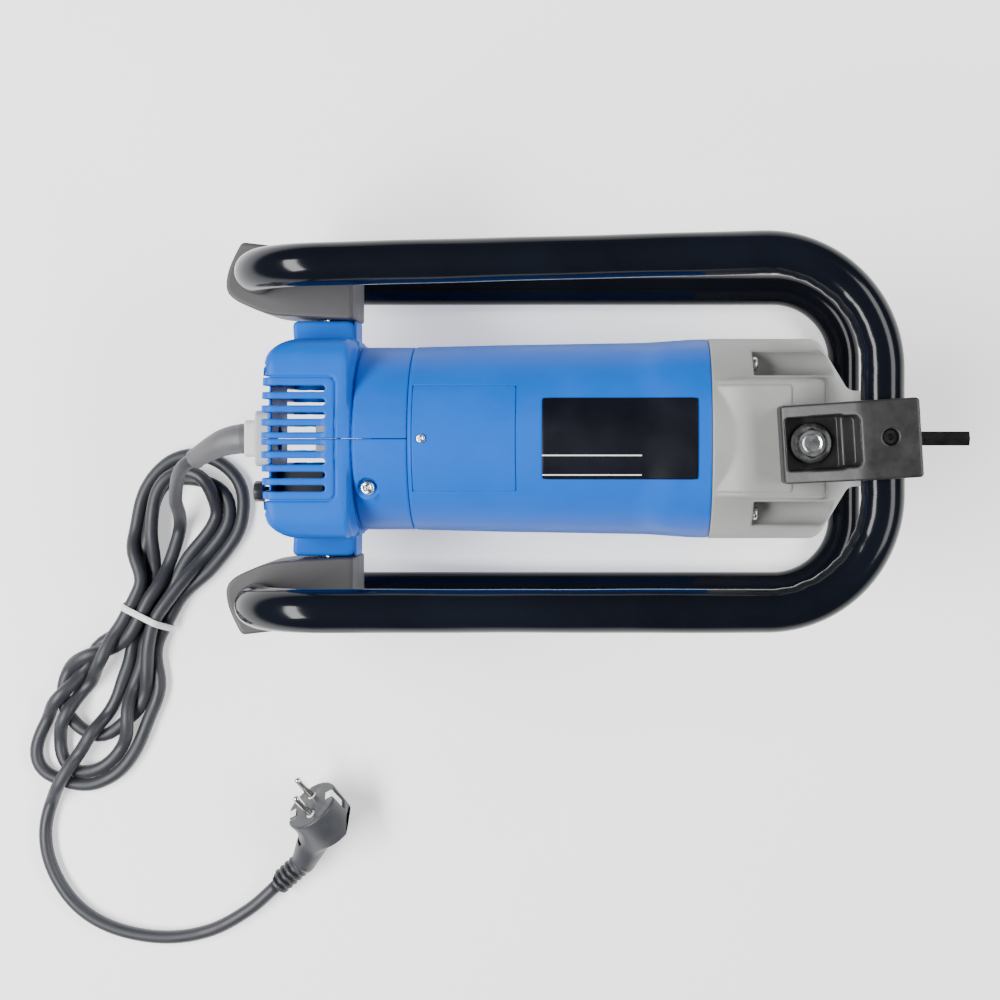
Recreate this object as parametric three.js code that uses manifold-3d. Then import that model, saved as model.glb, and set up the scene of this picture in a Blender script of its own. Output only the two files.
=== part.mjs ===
// Drive unit of a portable concrete vibrator: a brushed mains motor in a moulded housing, a cast nose
// with a hex drive spindle, and two bent tube hoops that carry and protect it.
// Millimetres. +X points to the drive spindle, +Y to the left side, +Z up; the floor is z = 0.
import * as THREE from 'three';
import { mergeVertices } from 'three/addons/utils/BufferGeometryUtils.js';
import Module from 'manifold-3d';

const wasm = await Module();
wasm.setup();

// ---- driving dimensions ----
const gap = 0.3; // clearance between touching pieces
const runningGap = 0.4; // clearance round turning and sliding pieces
const roundSides = 32; // facets of the large round housings
const barSides = 14; // facets of bars and holes
const holeFacets = 1 / Math.cos(Math.PI / barSides); // widens a faceted hole so that its flats clear a bar

const tubeRadius = 11; // steel tube of both hoops, across its flats
const sleeveRadius = tubeRadius + 2.5; // plastic grip sleeve on the upper hoop
const tubeSides = 12;
const hoopHalfWidth = 107; // centre of each side rail from the middle plane
const hoopFrontX = 174; // centre of the cross bars
const hoopRearX = -223; // centre of the vertical risers
const riserBend = 48; // centre-line radius where a rail turns into its riser
const lowerCorner = 51; // plan corner radius of the lower hoop
const upperCorner = 72; // plan corner radius of the upper hoop
const upperSplay = 1.5 * Math.PI / 180; // the upper hoop's left rail leans out towards the front
const railDistance = 87.5; // motor axis to the centre of either hoop's rails
const bendSteps = 5;

const axisHeight = tubeRadius + railDistance; // motor axis above the floor
const upperRailZ = axisHeight + railDistance;

const bracketHalfHeight = 29;
const bracketRearX = hoopRearX - 22.5;
const bracketFrontX = -162.7;
const bracketOuterY = hoopHalfWidth + 22;
const bracketInnerY = hoopHalfWidth - 29;
const bracketBoltX = -182;
const bracketBoltRadius = 4;
const bracketBoltHeadHeight = 8;
const bracketBoltDepth = 14; // from the bracket's inner face to the bolt head's seat
const bracketBoltReach = 9; // past that face into the housing's tab

const rearBoxRearX = -219; // vented rear box
const rearBoxFrontX = -161;
const rearBoxHalfWidth = 66;
const rearBoxHalfHeight = 61.5;
const rearBoxCorner = 24; // corner radius of its cross-section
const rearBoxPlanCorner = 22; // corner radius seen from above
const rearBoxEdge = 12; // rounding of its top and bottom rear edges
const housingWall = 3.5;
const tabRearX = -204; // seat of a side bracket
const tabFrontX = -163;
const tabHalfHeight = 18;
const wireHoleRadius = 8;
const neckRadius = 60.8;
const neckFrontX = -124;
const slotOffsets = [6.1, 14.6, 23.2, 31.7]; // centres of the vent slots from the seam
const slotWidth = 4;
const slotRearX = -208;
const slotFrontX = -176;
const neckScrewX = -150;
const neckScrewY = -31.5;
const neckScrewSeat = 49.5; // from the motor axis
const neckScrewLength = 16;

const motorFrontX = 70;
const motorRearRadius = 61;
const motorFrontRadius = 66;
const coverRearX = -121;
const coverFrontX = -55;
const coverHalfWidth = 34;
const coverThickness = 2;
const coverScrewX = -115;
const coverScrewRadius = 1.5;
const coverScrewHead = 2.9;
const coverFrame = 5; // ledge that a cover rests on
const labelRearX = -38;
const labelFrontX = 61;
const labelHalfWidth = 26;
const labelThickness = 0.8;

const noseRadius = 66.5;
const noseShoulderX = 142;
const noseNeckX = 164;
const noseNeckRadius = 32;
const noseFrontX = 177;
const noseWall = 6.5;
const padHalfWidth = 36; // raised seats for the clamps
const padRearX = 86;
const padFrontX = 141;
const padHeight = 68.5; // seat plane from the motor axis
const noseScrewY = 48; // four nose screws, from the motor axis
const noseScrewZ = 42;
const frontPower = 2.35; // power of the squarer front section, where 2 is a circle
const squareRearX = 30; // where the motor housing starts to turn squarer
const squareFrontX = 44;
const pocketRadius = 8.5;
const pocketRearX = 97;
const screwHeadRadius = 4.6;
const screwHeadHeight = 3.4;
const screwShankRadius = 2.2;
const noseScrewLength = 46;
const noseBossRadius = 5.5;
const noseBossRearX = 40;

const clampRearX = 111.5;
const clampBlockX = hoopFrontX - 13;
const clampFrontX = hoopFrontX + 21;
const clampHalfWidth = 24.5;
const clampTop = railDistance + 20; // outer face of the upper block from the motor axis
const clampArmRear = padHeight + 19.5; // height of the arm's rear end from the motor axis
const lowerClampReach = railDistance + 7; // outer face of the lower block, which leaves the tube on the floor
const clampFloor = 5;
const clampPocketHalf = 16.3;
const clampPocketRearX = 115;
const clampPocketFrontX = 158;
const clampStepX = 150;
const clampSkew = 3.5; // degrees that the upper clamp is turned on its bolt
const clampBoltX = 131;
const clampBoltY = -3;
const clampBoltRadius = 5;
const clampBoltLength = 26;
const clampBoltFlats = 17;
const clampBoltHead = 6.4;
const washerRadius = 12.8;
const washerThickness = 2;
const setScrewX = hoopFrontX + 2;
const setScrewY = 1;
const setScrewLength = 3.6;
const setScrewRadius = 4.4;

const spindleTipX = 245.5;
const spindleFlats = 9.4;
const spindleHubRadius = 8.5;
const spindleHexX = 204;
const spigotRadius = 21; // coupling spigot of the nose, which takes the flexible shaft
const spigotFrontX = 207;
const spigotBore = 12.5;

const shaftRadius = 8.5;
const rearJournalRadius = 6;
const shaftRearX = -160;
const rearBearing = { x: -149, width: 10, radius: 16 };
const frontBearing = { x: 141.3, width: 12, radius: 20 };
const armatureRearX = -50;
const armatureFrontX = 30;
const armatureRadius = 34;
const armatureSlots = 8;
const windingOverhang = 16;
const windingInner = 14;
const windingOuter = 31;
const armatureSlotHalf = 2.5;
const armatureSlotDepth = 11;
const airGap = 1;
const statorRadius = 57;
const yokeThickness = 9;
const poleHalf = 27;
const coilOverhang = 10;
const coilParting = 3; // half the space between the two coils
const commutatorX = -104;
const commutatorWidth = 24;
const commutatorRadius = 19;
const fanX = 48;
const fanWidth = 14;
const fanRadius = 48;
const fanBlades = 9;
const fanHubRadius = 14;
const fanDisc = 2;
const fanBladeHalf = 0.9;

const brushX = -92;
const brushHalfX = 5;
const brushHalfY = 8;
const brushLength = 16;
const brushTravel = 4;
const holderWall = 2;
const holderBase = commutatorRadius + 3; // holder's inner end from the motor axis
const holderTop = 47.5;
const springRadius = 3.6;
const springWire = 0.6;
const springTurns = 4;

const glandPlateHalf = 18.4;
const glandPlateX = -229;
const glandRadius = 12.2;
const glandX = -237;
const sleeveTip = new THREE.Vector3(-276, -14, axisHeight - 15.5);
const reliefBaseRadius = 9.5;
const reliefTipRadius = 6.6;

const buttonY = -35.3;
const buttonRadius = 7;
const buttonX = -232.5;
const buttonHead = 7;
const buttonTravel = 3;
const buttonStemRadius = 3.2;
const bushingRadius = 5;
const switchLength = 30;
const switchHalfWidth = 14;
const switchHalfHeight = 18;
const terminalBox = [-190, -176, -9, 9, 88, 108];

const cordRadius = 4.7;
const cordSides = 8;
const hankFloor = 1.8;
const hankTop = 19.8;
const tieWidth = 4.5;
const tieThickness = 1.2;
const leadPoints = [[-277, -14.4, axisHeight - 16], [-283.4, -17.6, axisHeight - 19.7], [-290, -24, 69],
  [-295.5, -34, 54.5], [-299.5, -45, 40], [-302, -54, 29]];
const tailPoints = [[-392.4, -252.3, 5], [-399, -268, 5], [-401.8, -287, 5], [-396.5, -311, 5],
  [-379.1, -337.1, 5], [-351.7, -353.7, 5], [-315.5, -360.2, 5], [-283, -355.2, 5.4], [-254.8, -340, 6.8],
  [-233.6, -321.4, 8.8]];
const hankCentre = [-326.6, -128.4]; // where the tie holds the cord
const hankAxis = [0.451, 0.894]; // runs up the hank
const hankOutline = [[124, -20], [113, -38], [96, -45.5], [72, -45], [40, -36], [2, -18.5], [-45, -26],
  [-80, -35], [-114, -34], [-131, -22], [-138.5, -3], [-131, 16], [-112, 34], [-86, 40], [-60, 38],
  [-30, 28], [-2, 18.5], [25, 21], [60, 29], [85, 33], [106, 28], [121, 8]];

const plugFace = new THREE.Vector3(-204.9, -258.4, 34.5); // centre of the pin face
const plugNormal = new THREE.Vector3(-0.512, 0.72, 0.47).normalize();
const plugPinLine = new THREE.Vector3(-0.12, 0.54, -0.83);
const plugRadius = 20.5;
const plugDepth = 30;
const bootStart = new THREE.Vector3(-213.5, -303, 13);
const bootEnd = new THREE.Vector3(-232.9, -320.8, 9);
const bootRadius = 8.2;
const pinRadius = 2.4;
const pinLength = 19;
const pinSpacing = 19;

// ---- solids ----
const X = new THREE.Vector3(1, 0, 0);
const Y = new THREE.Vector3(0, 1, 0);
const Z = new THREE.Vector3(0, 0, 1);

// A closed three.js geometry as a manifold solid with its faces pointing out.
function solid(geometry) {
  const bare = geometry.clone();
  bare.deleteAttribute('normal');
  bare.deleteAttribute('uv');
  const merged = mergeVertices(bare, 1e-4);
  const index = merged.index.array;
  const build = (a, b) => {
    const triangles = [];
    for (let i = 0; i < index.length; i += 3) {
      const [p, q, r] = [index[i], index[i + a], index[i + b]];
      if (p !== q && q !== r && p !== r) triangles.push(p, q, r);
    }
    const vertProperties = new Float32Array(merged.attributes.position.array);
    return new wasm.Manifold(new wasm.Mesh({ numProp: 3, vertProperties, triVerts: new Uint32Array(triangles) }));
  };
  const body = build(1, 2);
  return body.volume() > 0 ? body : build(2, 1);
}

// A box between two corners.
function box(x0, x1, y0, y1, z0, z1) {
  const geometry = new THREE.BoxGeometry(x1 - x0, y1 - y0, z1 - z0);
  return solid(geometry.translate((x0 + x1) / 2, (y0 + y1) / 2, (z0 + z1) / 2));
}

// A straight round bar, or a taper, between two points.
function bar(from, to, radius, endRadius = radius, sides = barSides) {
  const along = new THREE.Vector3().subVectors(to, from);
  const geometry = new THREE.CylinderGeometry(endRadius, radius, along.length(), sides);
  geometry.applyQuaternion(new THREE.Quaternion().setFromUnitVectors(Y, along.clone().normalize()));
  const middle = from.clone().add(to).multiplyScalar(0.5);
  return solid(geometry.translate(middle.x, middle.y, middle.z));
}

// A round bar along one axis, placed by its centre line.
function barX(x0, x1, y, z, radius, sides = barSides) {
  return bar(new THREE.Vector3(x0, y, z), new THREE.Vector3(x1, y, z), radius, radius, sides);
}

function barY(y0, y1, x, z, radius, sides = barSides) {
  return bar(new THREE.Vector3(x, y0, z), new THREE.Vector3(x, y1, z), radius, radius, sides);
}

function barZ(z0, z1, x, y, radius, sides = barSides) {
  return bar(new THREE.Vector3(x, y, z0), new THREE.Vector3(x, y, z1), radius, radius, sides);
}

// A profile of [x, radius] points turned round the motor axis; it starts and ends on the axis or closes.
function turned(profile, sides = roundSides) {
  const points = profile.map(([x, radius]) => new THREE.Vector2(radius, x));
  const geometry = new THREE.LatheGeometry(points, sides).rotateZ(-Math.PI / 2);
  return solid(geometry.translate(0, 0, axisHeight));
}

// A ring round the motor axis.
function ring(x0, x1, inner, outer, sides = roundSides) {
  return turned([[x0, inner], [x0, outer], [x1, outer], [x1, inner], [x0, inner]], sides);
}

// A flat shape given thickness along an axis, with its own x and y on the next two axes.
function extruded(shape, axis, start, end, curveSegments = 5) {
  const geometry = new THREE.ExtrudeGeometry(shape, { depth: end - start, bevelEnabled: false, curveSegments });
  const basis = { x: [Y, Z, X], y: [X, Z, Y], z: [X, Y, Z] }[axis];
  geometry.translate(0, 0, start).applyMatrix4(new THREE.Matrix4().makeBasis(...basis));
  return solid(geometry);
}

function polygon(points) {
  return new THREE.Shape(points.map(([x, y]) => new THREE.Vector2(x, y)));
}

// A regular polygon measured across its flats, with flats on its own x axis.
function flatsPolygon(flatRadius, sides, kind = THREE.Shape) {
  const corner = flatRadius / Math.cos(Math.PI / sides);
  const points = Array.from({ length: sides }, (_, i) => {
    const angle = (2 * i + 1) * Math.PI / sides;
    return new THREE.Vector2(corner * Math.cos(angle), corner * Math.sin(angle));
  });
  return new kind(points);
}

function roundedRectangle(x0, x1, y0, y1, radius) {
  const shape = new THREE.Shape();
  shape.moveTo(x0 + radius, y0);
  shape.lineTo(x1 - radius, y0).absarc(x1 - radius, y0 + radius, radius, -Math.PI / 2, 0);
  shape.lineTo(x1, y1 - radius).absarc(x1 - radius, y1 - radius, radius, 0, Math.PI / 2);
  shape.lineTo(x0 + radius, y1).absarc(x0 + radius, y1 - radius, radius, Math.PI / 2, Math.PI);
  shape.lineTo(x0, y0 + radius).absarc(x0 + radius, y0 + radius, radius, Math.PI, 1.5 * Math.PI);
  return shape;
}

// A route of straight runs and arcs that puts one section at each of its points.
class Route extends THREE.Curve {
  constructor(points) {
    super();
    this.points = points;
  }

  getPoint(t, target = new THREE.Vector3()) {
    const place = Math.min(Math.max(t, 0), 1) * (this.points.length - 1);
    const i = Math.min(Math.floor(place), this.points.length - 2);
    return target.lerpVectors(this.points[i], this.points[i + 1], place - i);
  }

  getUtoTmapping(u) {
    return u;
  }
}

function swept(shape, points) {
  const options = { steps: points.length - 1, extrudePath: new Route(points), bevelEnabled: false };
  return solid(new THREE.ExtrudeGeometry(shape, options));
}

const parts = new THREE.Group();

const finishes = {
  blue: [0x3d86cf, 0.42, 0],
  cast: [0xa3a39e, 0.5, 0.35],
  bracket: [0x5a585a, 0.65, 0],
  clamp: [0x3c3a3c, 0.5, 0.3],
  gloss: [0x0d0d10, 0.12, 0],
  zinc: [0xc4c6c8, 0.35, 0.9],
  steel: [0x8d9094, 0.3, 0.9],
  black: [0x17171a, 0.45, 0],
  label: [0x101012, 0.3, 0],
  copper: [0xb36a35, 0.35, 0.9],
  brass: [0xc09a45, 0.35, 0.9],
  carbon: [0x2a2a2c, 0.8, 0],
  white: [0xe4e4e0, 0.5, 0],
  rubber: [0x3e4248, 0.6, 0],
  laminate: [0x55585c, 0.5, 0.7],
};

function part(name, finish, body) {
  const { numProp, vertProperties, triVerts } = body.getMesh();
  const geometry = new THREE.BufferGeometry();
  geometry.setAttribute('position', new THREE.BufferAttribute(vertProperties, numProp));
  geometry.setIndex(new THREE.BufferAttribute(triVerts, 1));
  geometry.computeVertexNormals();
  const [color, roughness, metalness] = finishes[finish];
  const mesh = new THREE.Mesh(geometry, new THREE.MeshStandardMaterial({ color, roughness, metalness }));
  mesh.name = name;
  parts.add(mesh);
}

// ---- hoops ----
// Centre line of a hoop: up its left riser, round the plan and down its right riser. outward is +1 for
// the upper hoop and -1 for the lower; the risers end at the given distance from the motor axis, and the
// left rail leans out by the angle splay.
function hoopRoute(outward, corner, riserStart, splay) {
  const railZ = axisHeight + outward * railDistance;
  const riserTopZ = railZ - outward * riserBend;
  const cornerX = hoopFrontX - corner;
  const half = (lean) => {
    const line = [new THREE.Vector3(hoopRearX, hoopHalfWidth, axisHeight + outward * riserStart)];
    for (let i = 0; i <= bendSteps; i++) {
      const turn = (i / bendSteps) * Math.PI / 2;
      const run = riserBend * (1 - Math.cos(turn));
      line.push(new THREE.Vector3(hoopRearX + run * Math.cos(lean), hoopHalfWidth + run * Math.sin(lean),
        riserTopZ + outward * riserBend * Math.sin(turn)));
    }
    const railRun = (cornerX - hoopRearX - corner * Math.sin(lean)) / Math.cos(lean);
    const cornerY = hoopHalfWidth + railRun * Math.sin(lean) - corner * Math.cos(lean);
    for (let i = bendSteps; i >= 0; i--) {
      const turn = (i / bendSteps) * (Math.PI / 2 + lean);
      line.push(new THREE.Vector3(cornerX + corner * Math.cos(turn), cornerY + corner * Math.sin(turn), railZ));
    }
    return line;
  };
  const right = half(0).map((p) => new THREE.Vector3(p.x, -p.y, p.z)).reverse();
  return [...half(splay), ...right];
}

function hoops() {
  const tube = flatsPolygon(tubeRadius, tubeSides);
  part('lower_hoop', 'gloss', swept(tube, hoopRoute(-1, lowerCorner, gap, 0)));
  part('upper_hoop', 'gloss', swept(tube, hoopRoute(1, upperCorner, gap, upperSplay)));
  const sleeve = flatsPolygon(sleeveRadius, tubeSides);
  sleeve.holes.push(flatsPolygon(tubeRadius + gap, tubeSides, THREE.Path));
  const sleeveStart = bracketHalfHeight + 3;
  part('upper_hoop_sleeve', 'gloss', swept(sleeve, hoopRoute(1, upperCorner, sleeveStart, upperSplay)));
}

// ---- side brackets ----
function brackets() {
  const riserHole = holeFacets * (tubeRadius / Math.cos(Math.PI / tubeSides) + gap);
  // Corners of the outline from the riser's centre: forwards, then outwards.
  const outline = [[bracketFrontX - hoopRearX, bracketInnerY - hoopHalfWidth], [bracketFrontX - hoopRearX, 5],
    [48, 14], [19.6, 17.8], [12, 19.9], [-11.9, bracketOuterY - hoopHalfWidth], [-16.2, 15.6],
    [bracketRearX - hoopRearX, -0.7], [bracketRearX - hoopRearX, -10.5], [-18.4, -16], [-13, -19.2],
    [6.6, -26.6], [21.8, -27.9]].map(([x, y]) => [hoopRearX + x, hoopHalfWidth + y]);
  const boltHeadY = bracketInnerY + bracketBoltDepth;
  for (const [name, side] of [['left', 1], ['right', -1]]) {
    const shape = polygon(outline.map(([x, y]) => [x, side * y]));
    const y = side * hoopHalfWidth;
    const low = axisHeight - bracketHalfHeight;
    const high = axisHeight + bracketHalfHeight;
    const body = extruded(shape, 'z', low, high)
      .subtract(barZ(low - 1, high + 1, hoopRearX, y, riserHole))
      .subtract(barY(side * bracketInnerY - side, side * (boltHeadY + 1), bracketBoltX, axisHeight,
        bracketBoltRadius + gap))
      .subtract(barY(side * boltHeadY, side * (bracketOuterY + 1), bracketBoltX, axisHeight,
        bracketBoltRadius * 2));
    part(`side_bracket_${name}`, 'bracket', body);
    const bolt = barY(side * (boltHeadY + gap), side * (boltHeadY + bracketBoltHeadHeight), bracketBoltX, axisHeight,
      bracketBoltRadius * 1.7)
      .add(barY(side * (bracketInnerY - bracketBoltReach), side * (boltHeadY + 1), bracketBoltX, axisHeight,
        bracketBoltRadius));
    part(`side_bracket_bolt_${name}`, 'zinc', bolt);
  }
}

// ---- rear housing ----
// The rear box, rounded in all three views and shrunk by inset on every side but its front.
function rearBox(inset, frontX) {
  const halfWidth = rearBoxHalfWidth - inset;
  const halfHeight = rearBoxHalfHeight - inset;
  const rear = rearBoxRearX + inset;
  const low = axisHeight - halfHeight;
  const high = axisHeight + halfHeight;
  const section = roundedRectangle(-halfWidth, halfWidth, low, high, rearBoxCorner - inset);
  const planCorner = rearBoxPlanCorner - inset;
  const plan = roundedRectangle(rear, frontX + planCorner, -halfWidth, halfWidth, planCorner);
  const edge = rearBoxEdge - inset;
  const profile = roundedRectangle(rear, frontX + edge, low, high, edge);
  return extruded(section, 'x', rear, frontX)
    .intersect(extruded(plan, 'z', low, high))
    .intersect(extruded(profile, 'y', -halfWidth, halfWidth, 3));
}

function ventSlots() {
  const depth = housingWall + 12;
  const cuts = [];
  for (const outward of [1, -1]) {
    const face = axisHeight + outward * rearBoxHalfHeight;
    for (const side of [1, -1]) {
      for (const offset of slotOffsets) {
        const y = side * offset;
        const [low, high] = outward > 0 ? [face - depth, face + 1] : [face - 1, face + depth];
        cuts.push(box(slotRearX, slotFrontX, y - slotWidth / 2, y + slotWidth / 2, low, high));
      }
    }
  }
  return cuts.reduce((all, cut) => all.add(cut));
}

function rearHousing() {
  const outer = rearBox(0, rearBoxFrontX)
    .add(ring(rearBoxFrontX - 2, neckFrontX - gap / 2, 20, neckRadius))
    .add(box(tabRearX, tabFrontX, -bracketInnerY + gap, bracketInnerY - gap,
      axisHeight - tabHalfHeight, axisHeight + tabHalfHeight));
  const boreRadius = neckRadius - housingWall;
  const inner = rearBox(housingWall, rearBoxFrontX - housingWall)
    .add(turned([[rearBoxFrontX - housingWall - 1, 0], [rearBoxFrontX - housingWall - 1, boreRadius],
      [neckFrontX + 1, boreRadius], [neckFrontX + 1, 0]]));
  const holes = barX(rearBoxRearX - 1, rearBoxRearX + housingWall + 1, 0, axisHeight, wireHoleRadius)
    .add(barX(rearBoxRearX - 1, rearBoxRearX + housingWall + 1, buttonY, axisHeight, bushingRadius + gap))
    .add(barZ(axisHeight, axisHeight + neckRadius, neckScrewX, neckScrewY, screwShankRadius + gap))
    .add(barZ(axisHeight + neckScrewSeat, axisHeight + neckRadius, neckScrewX, neckScrewY, screwHeadRadius + 1.5));
  const boltHoles = barY(-bracketInnerY - 1, bracketInnerY + 1, bracketBoltX, axisHeight, bracketBoltRadius + gap);
  const shell = outer.subtract(inner).subtract(ventSlots()).subtract(boltHoles);
  const bossZ = axisHeight + neckScrewSeat;
  const boss = barZ(bossZ - 5.5, bossZ + 2.5, neckScrewX, neckScrewY, screwHeadRadius + 3.5);
  const whole = shell.add(boss).subtract(holes);
  const reach = 400;
  for (const [name, side] of [['left', 1], ['right', -1]]) {
    const half = side > 0 ? box(-reach, reach, gap / 2, reach, -reach, reach)
      : box(-reach, reach, -reach, -gap / 2, -reach, reach);
    part(`rear_housing_${name}`, 'blue', whole.intersect(half));
  }
  const headZ = axisHeight + neckScrewSeat + gap;
  part('neck_screw', 'zinc', barZ(headZ, headZ + screwHeadHeight, neckScrewX, neckScrewY, screwHeadRadius)
    .add(barZ(headZ - neckScrewLength, headZ + 1, neckScrewX, neckScrewY, screwShankRadius)));
}

// ---- motor housing ----
// Outer radius of the motor housing at its stations, moved in or out by offset.
function motorProfile(offset) {
  return [[neckFrontX + gap / 2, motorRearRadius + offset], [-67, motorRearRadius + 1.5 + offset],
    [squareRearX, motorFrontRadius - 2 + offset], [squareFrontX, motorFrontRadius - 1 + offset],
    [60, motorFrontRadius + offset],
    [motorFrontX - gap / 2, motorFrontRadius + offset]];
}

function motorShell(innerOffset, outerOffset) {
  const outer = motorProfile(outerOffset);
  return squared(turned([...outer, ...motorProfile(innerOffset).reverse(), outer[0]]));
}

function motorSolid(offset) {
  const outer = motorProfile(offset);
  return squared(turned([[outer[0][0], 0], ...outer, [outer[outer.length - 1][0], 0]]));
}

// A turned body with its front pushed out at the corners: each radius is divided by the length of its own
// direction in the power that grows from 2, a circle, to frontPower.
function squared(body) {
  return body.warp((point) => {
    const [y, z] = [point[1], point[2] - axisHeight];
    const radius = Math.hypot(y, z);
    if (radius < noseNeckRadius + 1 || point[0] < squareRearX) return;
    const share = Math.min(1, (point[0] - squareRearX) / (squareFrontX - squareRearX))
      * Math.min(1, (radius - noseNeckRadius) / (noseRadius - noseNeckRadius));
    const power = 2 + (frontPower - 2) * share;
    const length = ((Math.abs(y) / radius) ** power + (Math.abs(z) / radius) ** power) ** (1 / power);
    point[1] = y / length;
    point[2] = axisHeight + z / length;
  });
}

// The four corners where the nose screws run, as [y, z].
function noseScrewCentres() {
  return [[1, 1], [-1, 1], [-1, -1], [1, -1]].map(([y, z]) => [y * noseScrewY, axisHeight + z * noseScrewZ]);
}

function motorHousing() {
  let body = motorShell(-housingWall, 0);
  const frontEnd = motorFrontX - gap / 2;
  const filled = squared(turned([[noseBossRearX, 0], [noseBossRearX, motorFrontRadius - 2.5],
    [squareFrontX, motorFrontRadius - 1.2], [frontEnd, motorFrontRadius - 0.2], [frontEnd, 0]]));
  for (const [y, z] of noseScrewCentres()) {
    body = body.add(barX(noseBossRearX, frontEnd, y, z, noseBossRadius, 16).intersect(filled));
  }
  for (const [y, z] of noseScrewCentres()) {
    body = body.subtract(barX(noseBossRearX + 4, motorFrontX + 1, y, z, screwShankRadius + gap, 12));
  }
  const recess = motorShell(-coverThickness - gap, 3);
  const edge = coverHalfWidth + gap;
  for (const outward of [1, -1]) {
    const [low, high] = outward > 0 ? [axisHeight, 200] : [-20, axisHeight];
    body = body.subtract(recess.intersect(box(coverRearX - gap, coverFrontX + gap, -edge, edge, low, high)));
    body = body.subtract(box(coverScrewX + 7, coverFrontX - coverFrame, coverFrame - edge, edge - coverFrame,
      low, high));
    const end = axisHeight + outward * (motorRearRadius + 2);
    body = body.subtract(barZ(Math.min(axisHeight, end), Math.max(axisHeight, end), coverScrewX, 0,
      coverScrewRadius + gap, 12));
  }
  part('motor_housing', 'blue', body);

  const skin = motorShell(-coverThickness, 0.5);
  for (const [name, outward] of [['top', 1], ['bottom', -1]]) {
    const [low, high] = outward > 0 ? [axisHeight, 200] : [-20, axisHeight];
    const screwSeat = axisHeight + outward * (motorRearRadius - 0.6);
    const cover = skin
      .intersect(box(coverRearX, coverFrontX, -coverHalfWidth, coverHalfWidth, low, high))
      .subtract(barZ(Math.min(axisHeight, screwSeat + outward * 5), Math.max(axisHeight, screwSeat + outward * 5),
        coverScrewX, 0, coverScrewRadius + gap, 12));
    part(`brush_cover_${name}`, 'blue', cover);
    const headLow = screwSeat + outward * (1.1 + gap);
    const head = [headLow, headLow + outward * 1.8];
    const shank = [screwSeat - outward * 9, headLow + outward * 0.5];
    part(`brush_cover_screw_${name}`, 'zinc',
      barZ(Math.min(...head), Math.max(...head), coverScrewX, 0, coverScrewHead, 16)
        .add(barZ(Math.min(...shank), Math.max(...shank), coverScrewX, 0, coverScrewRadius, 12)));
  }
  const plate = motorSolid(gap + labelThickness).subtract(motorSolid(gap));
  part('label_plate', 'label',
    plate.intersect(box(labelRearX, labelFrontX, -labelHalfWidth, labelHalfWidth, axisHeight, 200)));
}

// ---- nose casting ----
function noseCasting() {
  const rearX = motorFrontX + gap / 2;
  const cavity = noseRadius - noseWall;
  const seatX = frontBearing.x - gap;
  const seatEndX = frontBearing.x + frontBearing.width + gap;
  const filled = squared(turned([[rearX, 0], [rearX, noseRadius], [noseShoulderX, noseRadius],
    [noseNeckX, noseNeckRadius], [noseFrontX, noseNeckRadius], [noseFrontX, spigotRadius],
    [spigotFrontX, spigotRadius], [spigotFrontX, 0]]));
  const hollow = turned([[rearX - 1, 0], [rearX - 1, cavity], [noseShoulderX - 14, cavity],
    [seatX - 4, frontBearing.radius + 6], [seatX, frontBearing.radius + gap],
    [seatEndX, frontBearing.radius + gap], [seatEndX, spigotBore], [spigotFrontX + 1, spigotBore],
    [spigotFrontX + 1, 0]]);
  let body = filled.subtract(hollow);
  for (const outward of [1, -1]) {
    const [low, high] = outward > 0 ? [axisHeight + cavity - 14, axisHeight + padHeight]
      : [axisHeight - padHeight, axisHeight - cavity + 14];
    body = body.add(box(padRearX, padFrontX, -padHalfWidth, padHalfWidth, low, high)
      .subtract(turned([[padRearX - 1, 0], [padRearX - 1, cavity], [padFrontX - 13, cavity],
        [padFrontX + 1, cavity - 20], [padFrontX + 1, 0]])));
    body = body.add(barZ(Math.min(axisHeight + outward * 48, axisHeight + outward * 64),
      Math.max(axisHeight + outward * 48, axisHeight + outward * 64), clampBoltX, clampBoltY, 10, 20));
  }
  for (const [y, z] of noseScrewCentres()) {
    body = body.add(barX(rearX, noseShoulderX - 4, y, z, pocketRadius + 3, 20).intersect(filled));
  }
  for (const [y, z] of noseScrewCentres()) {
    body = body.subtract(barX(pocketRearX, noseShoulderX + 30, y, z, pocketRadius, 20));
    body = body.subtract(barX(rearX - 1, pocketRearX + 1, y, z, screwShankRadius + gap, 12));
  }
  const boltReach = clampBoltLength - clampFloor;
  for (const outward of [1, -1]) {
    const ends = [axisHeight + outward * (padHeight - boltReach - 3), axisHeight + outward * (padHeight + 1)];
    body = body.subtract(barZ(Math.min(...ends), Math.max(...ends), clampBoltX, clampBoltY, clampBoltRadius + gap));
  }
  part('nose_casting', 'cast', body);

  noseScrewCentres().forEach(([y, z], i) => {
    const headX = pocketRearX + gap;
    part(`nose_screw_${i + 1}`, 'zinc', barX(headX, headX + screwHeadHeight, y, z, screwHeadRadius, 16)
      .add(barX(headX - noseScrewLength, headX + 1, y, z, screwShankRadius, 12)));
  });
}

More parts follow.
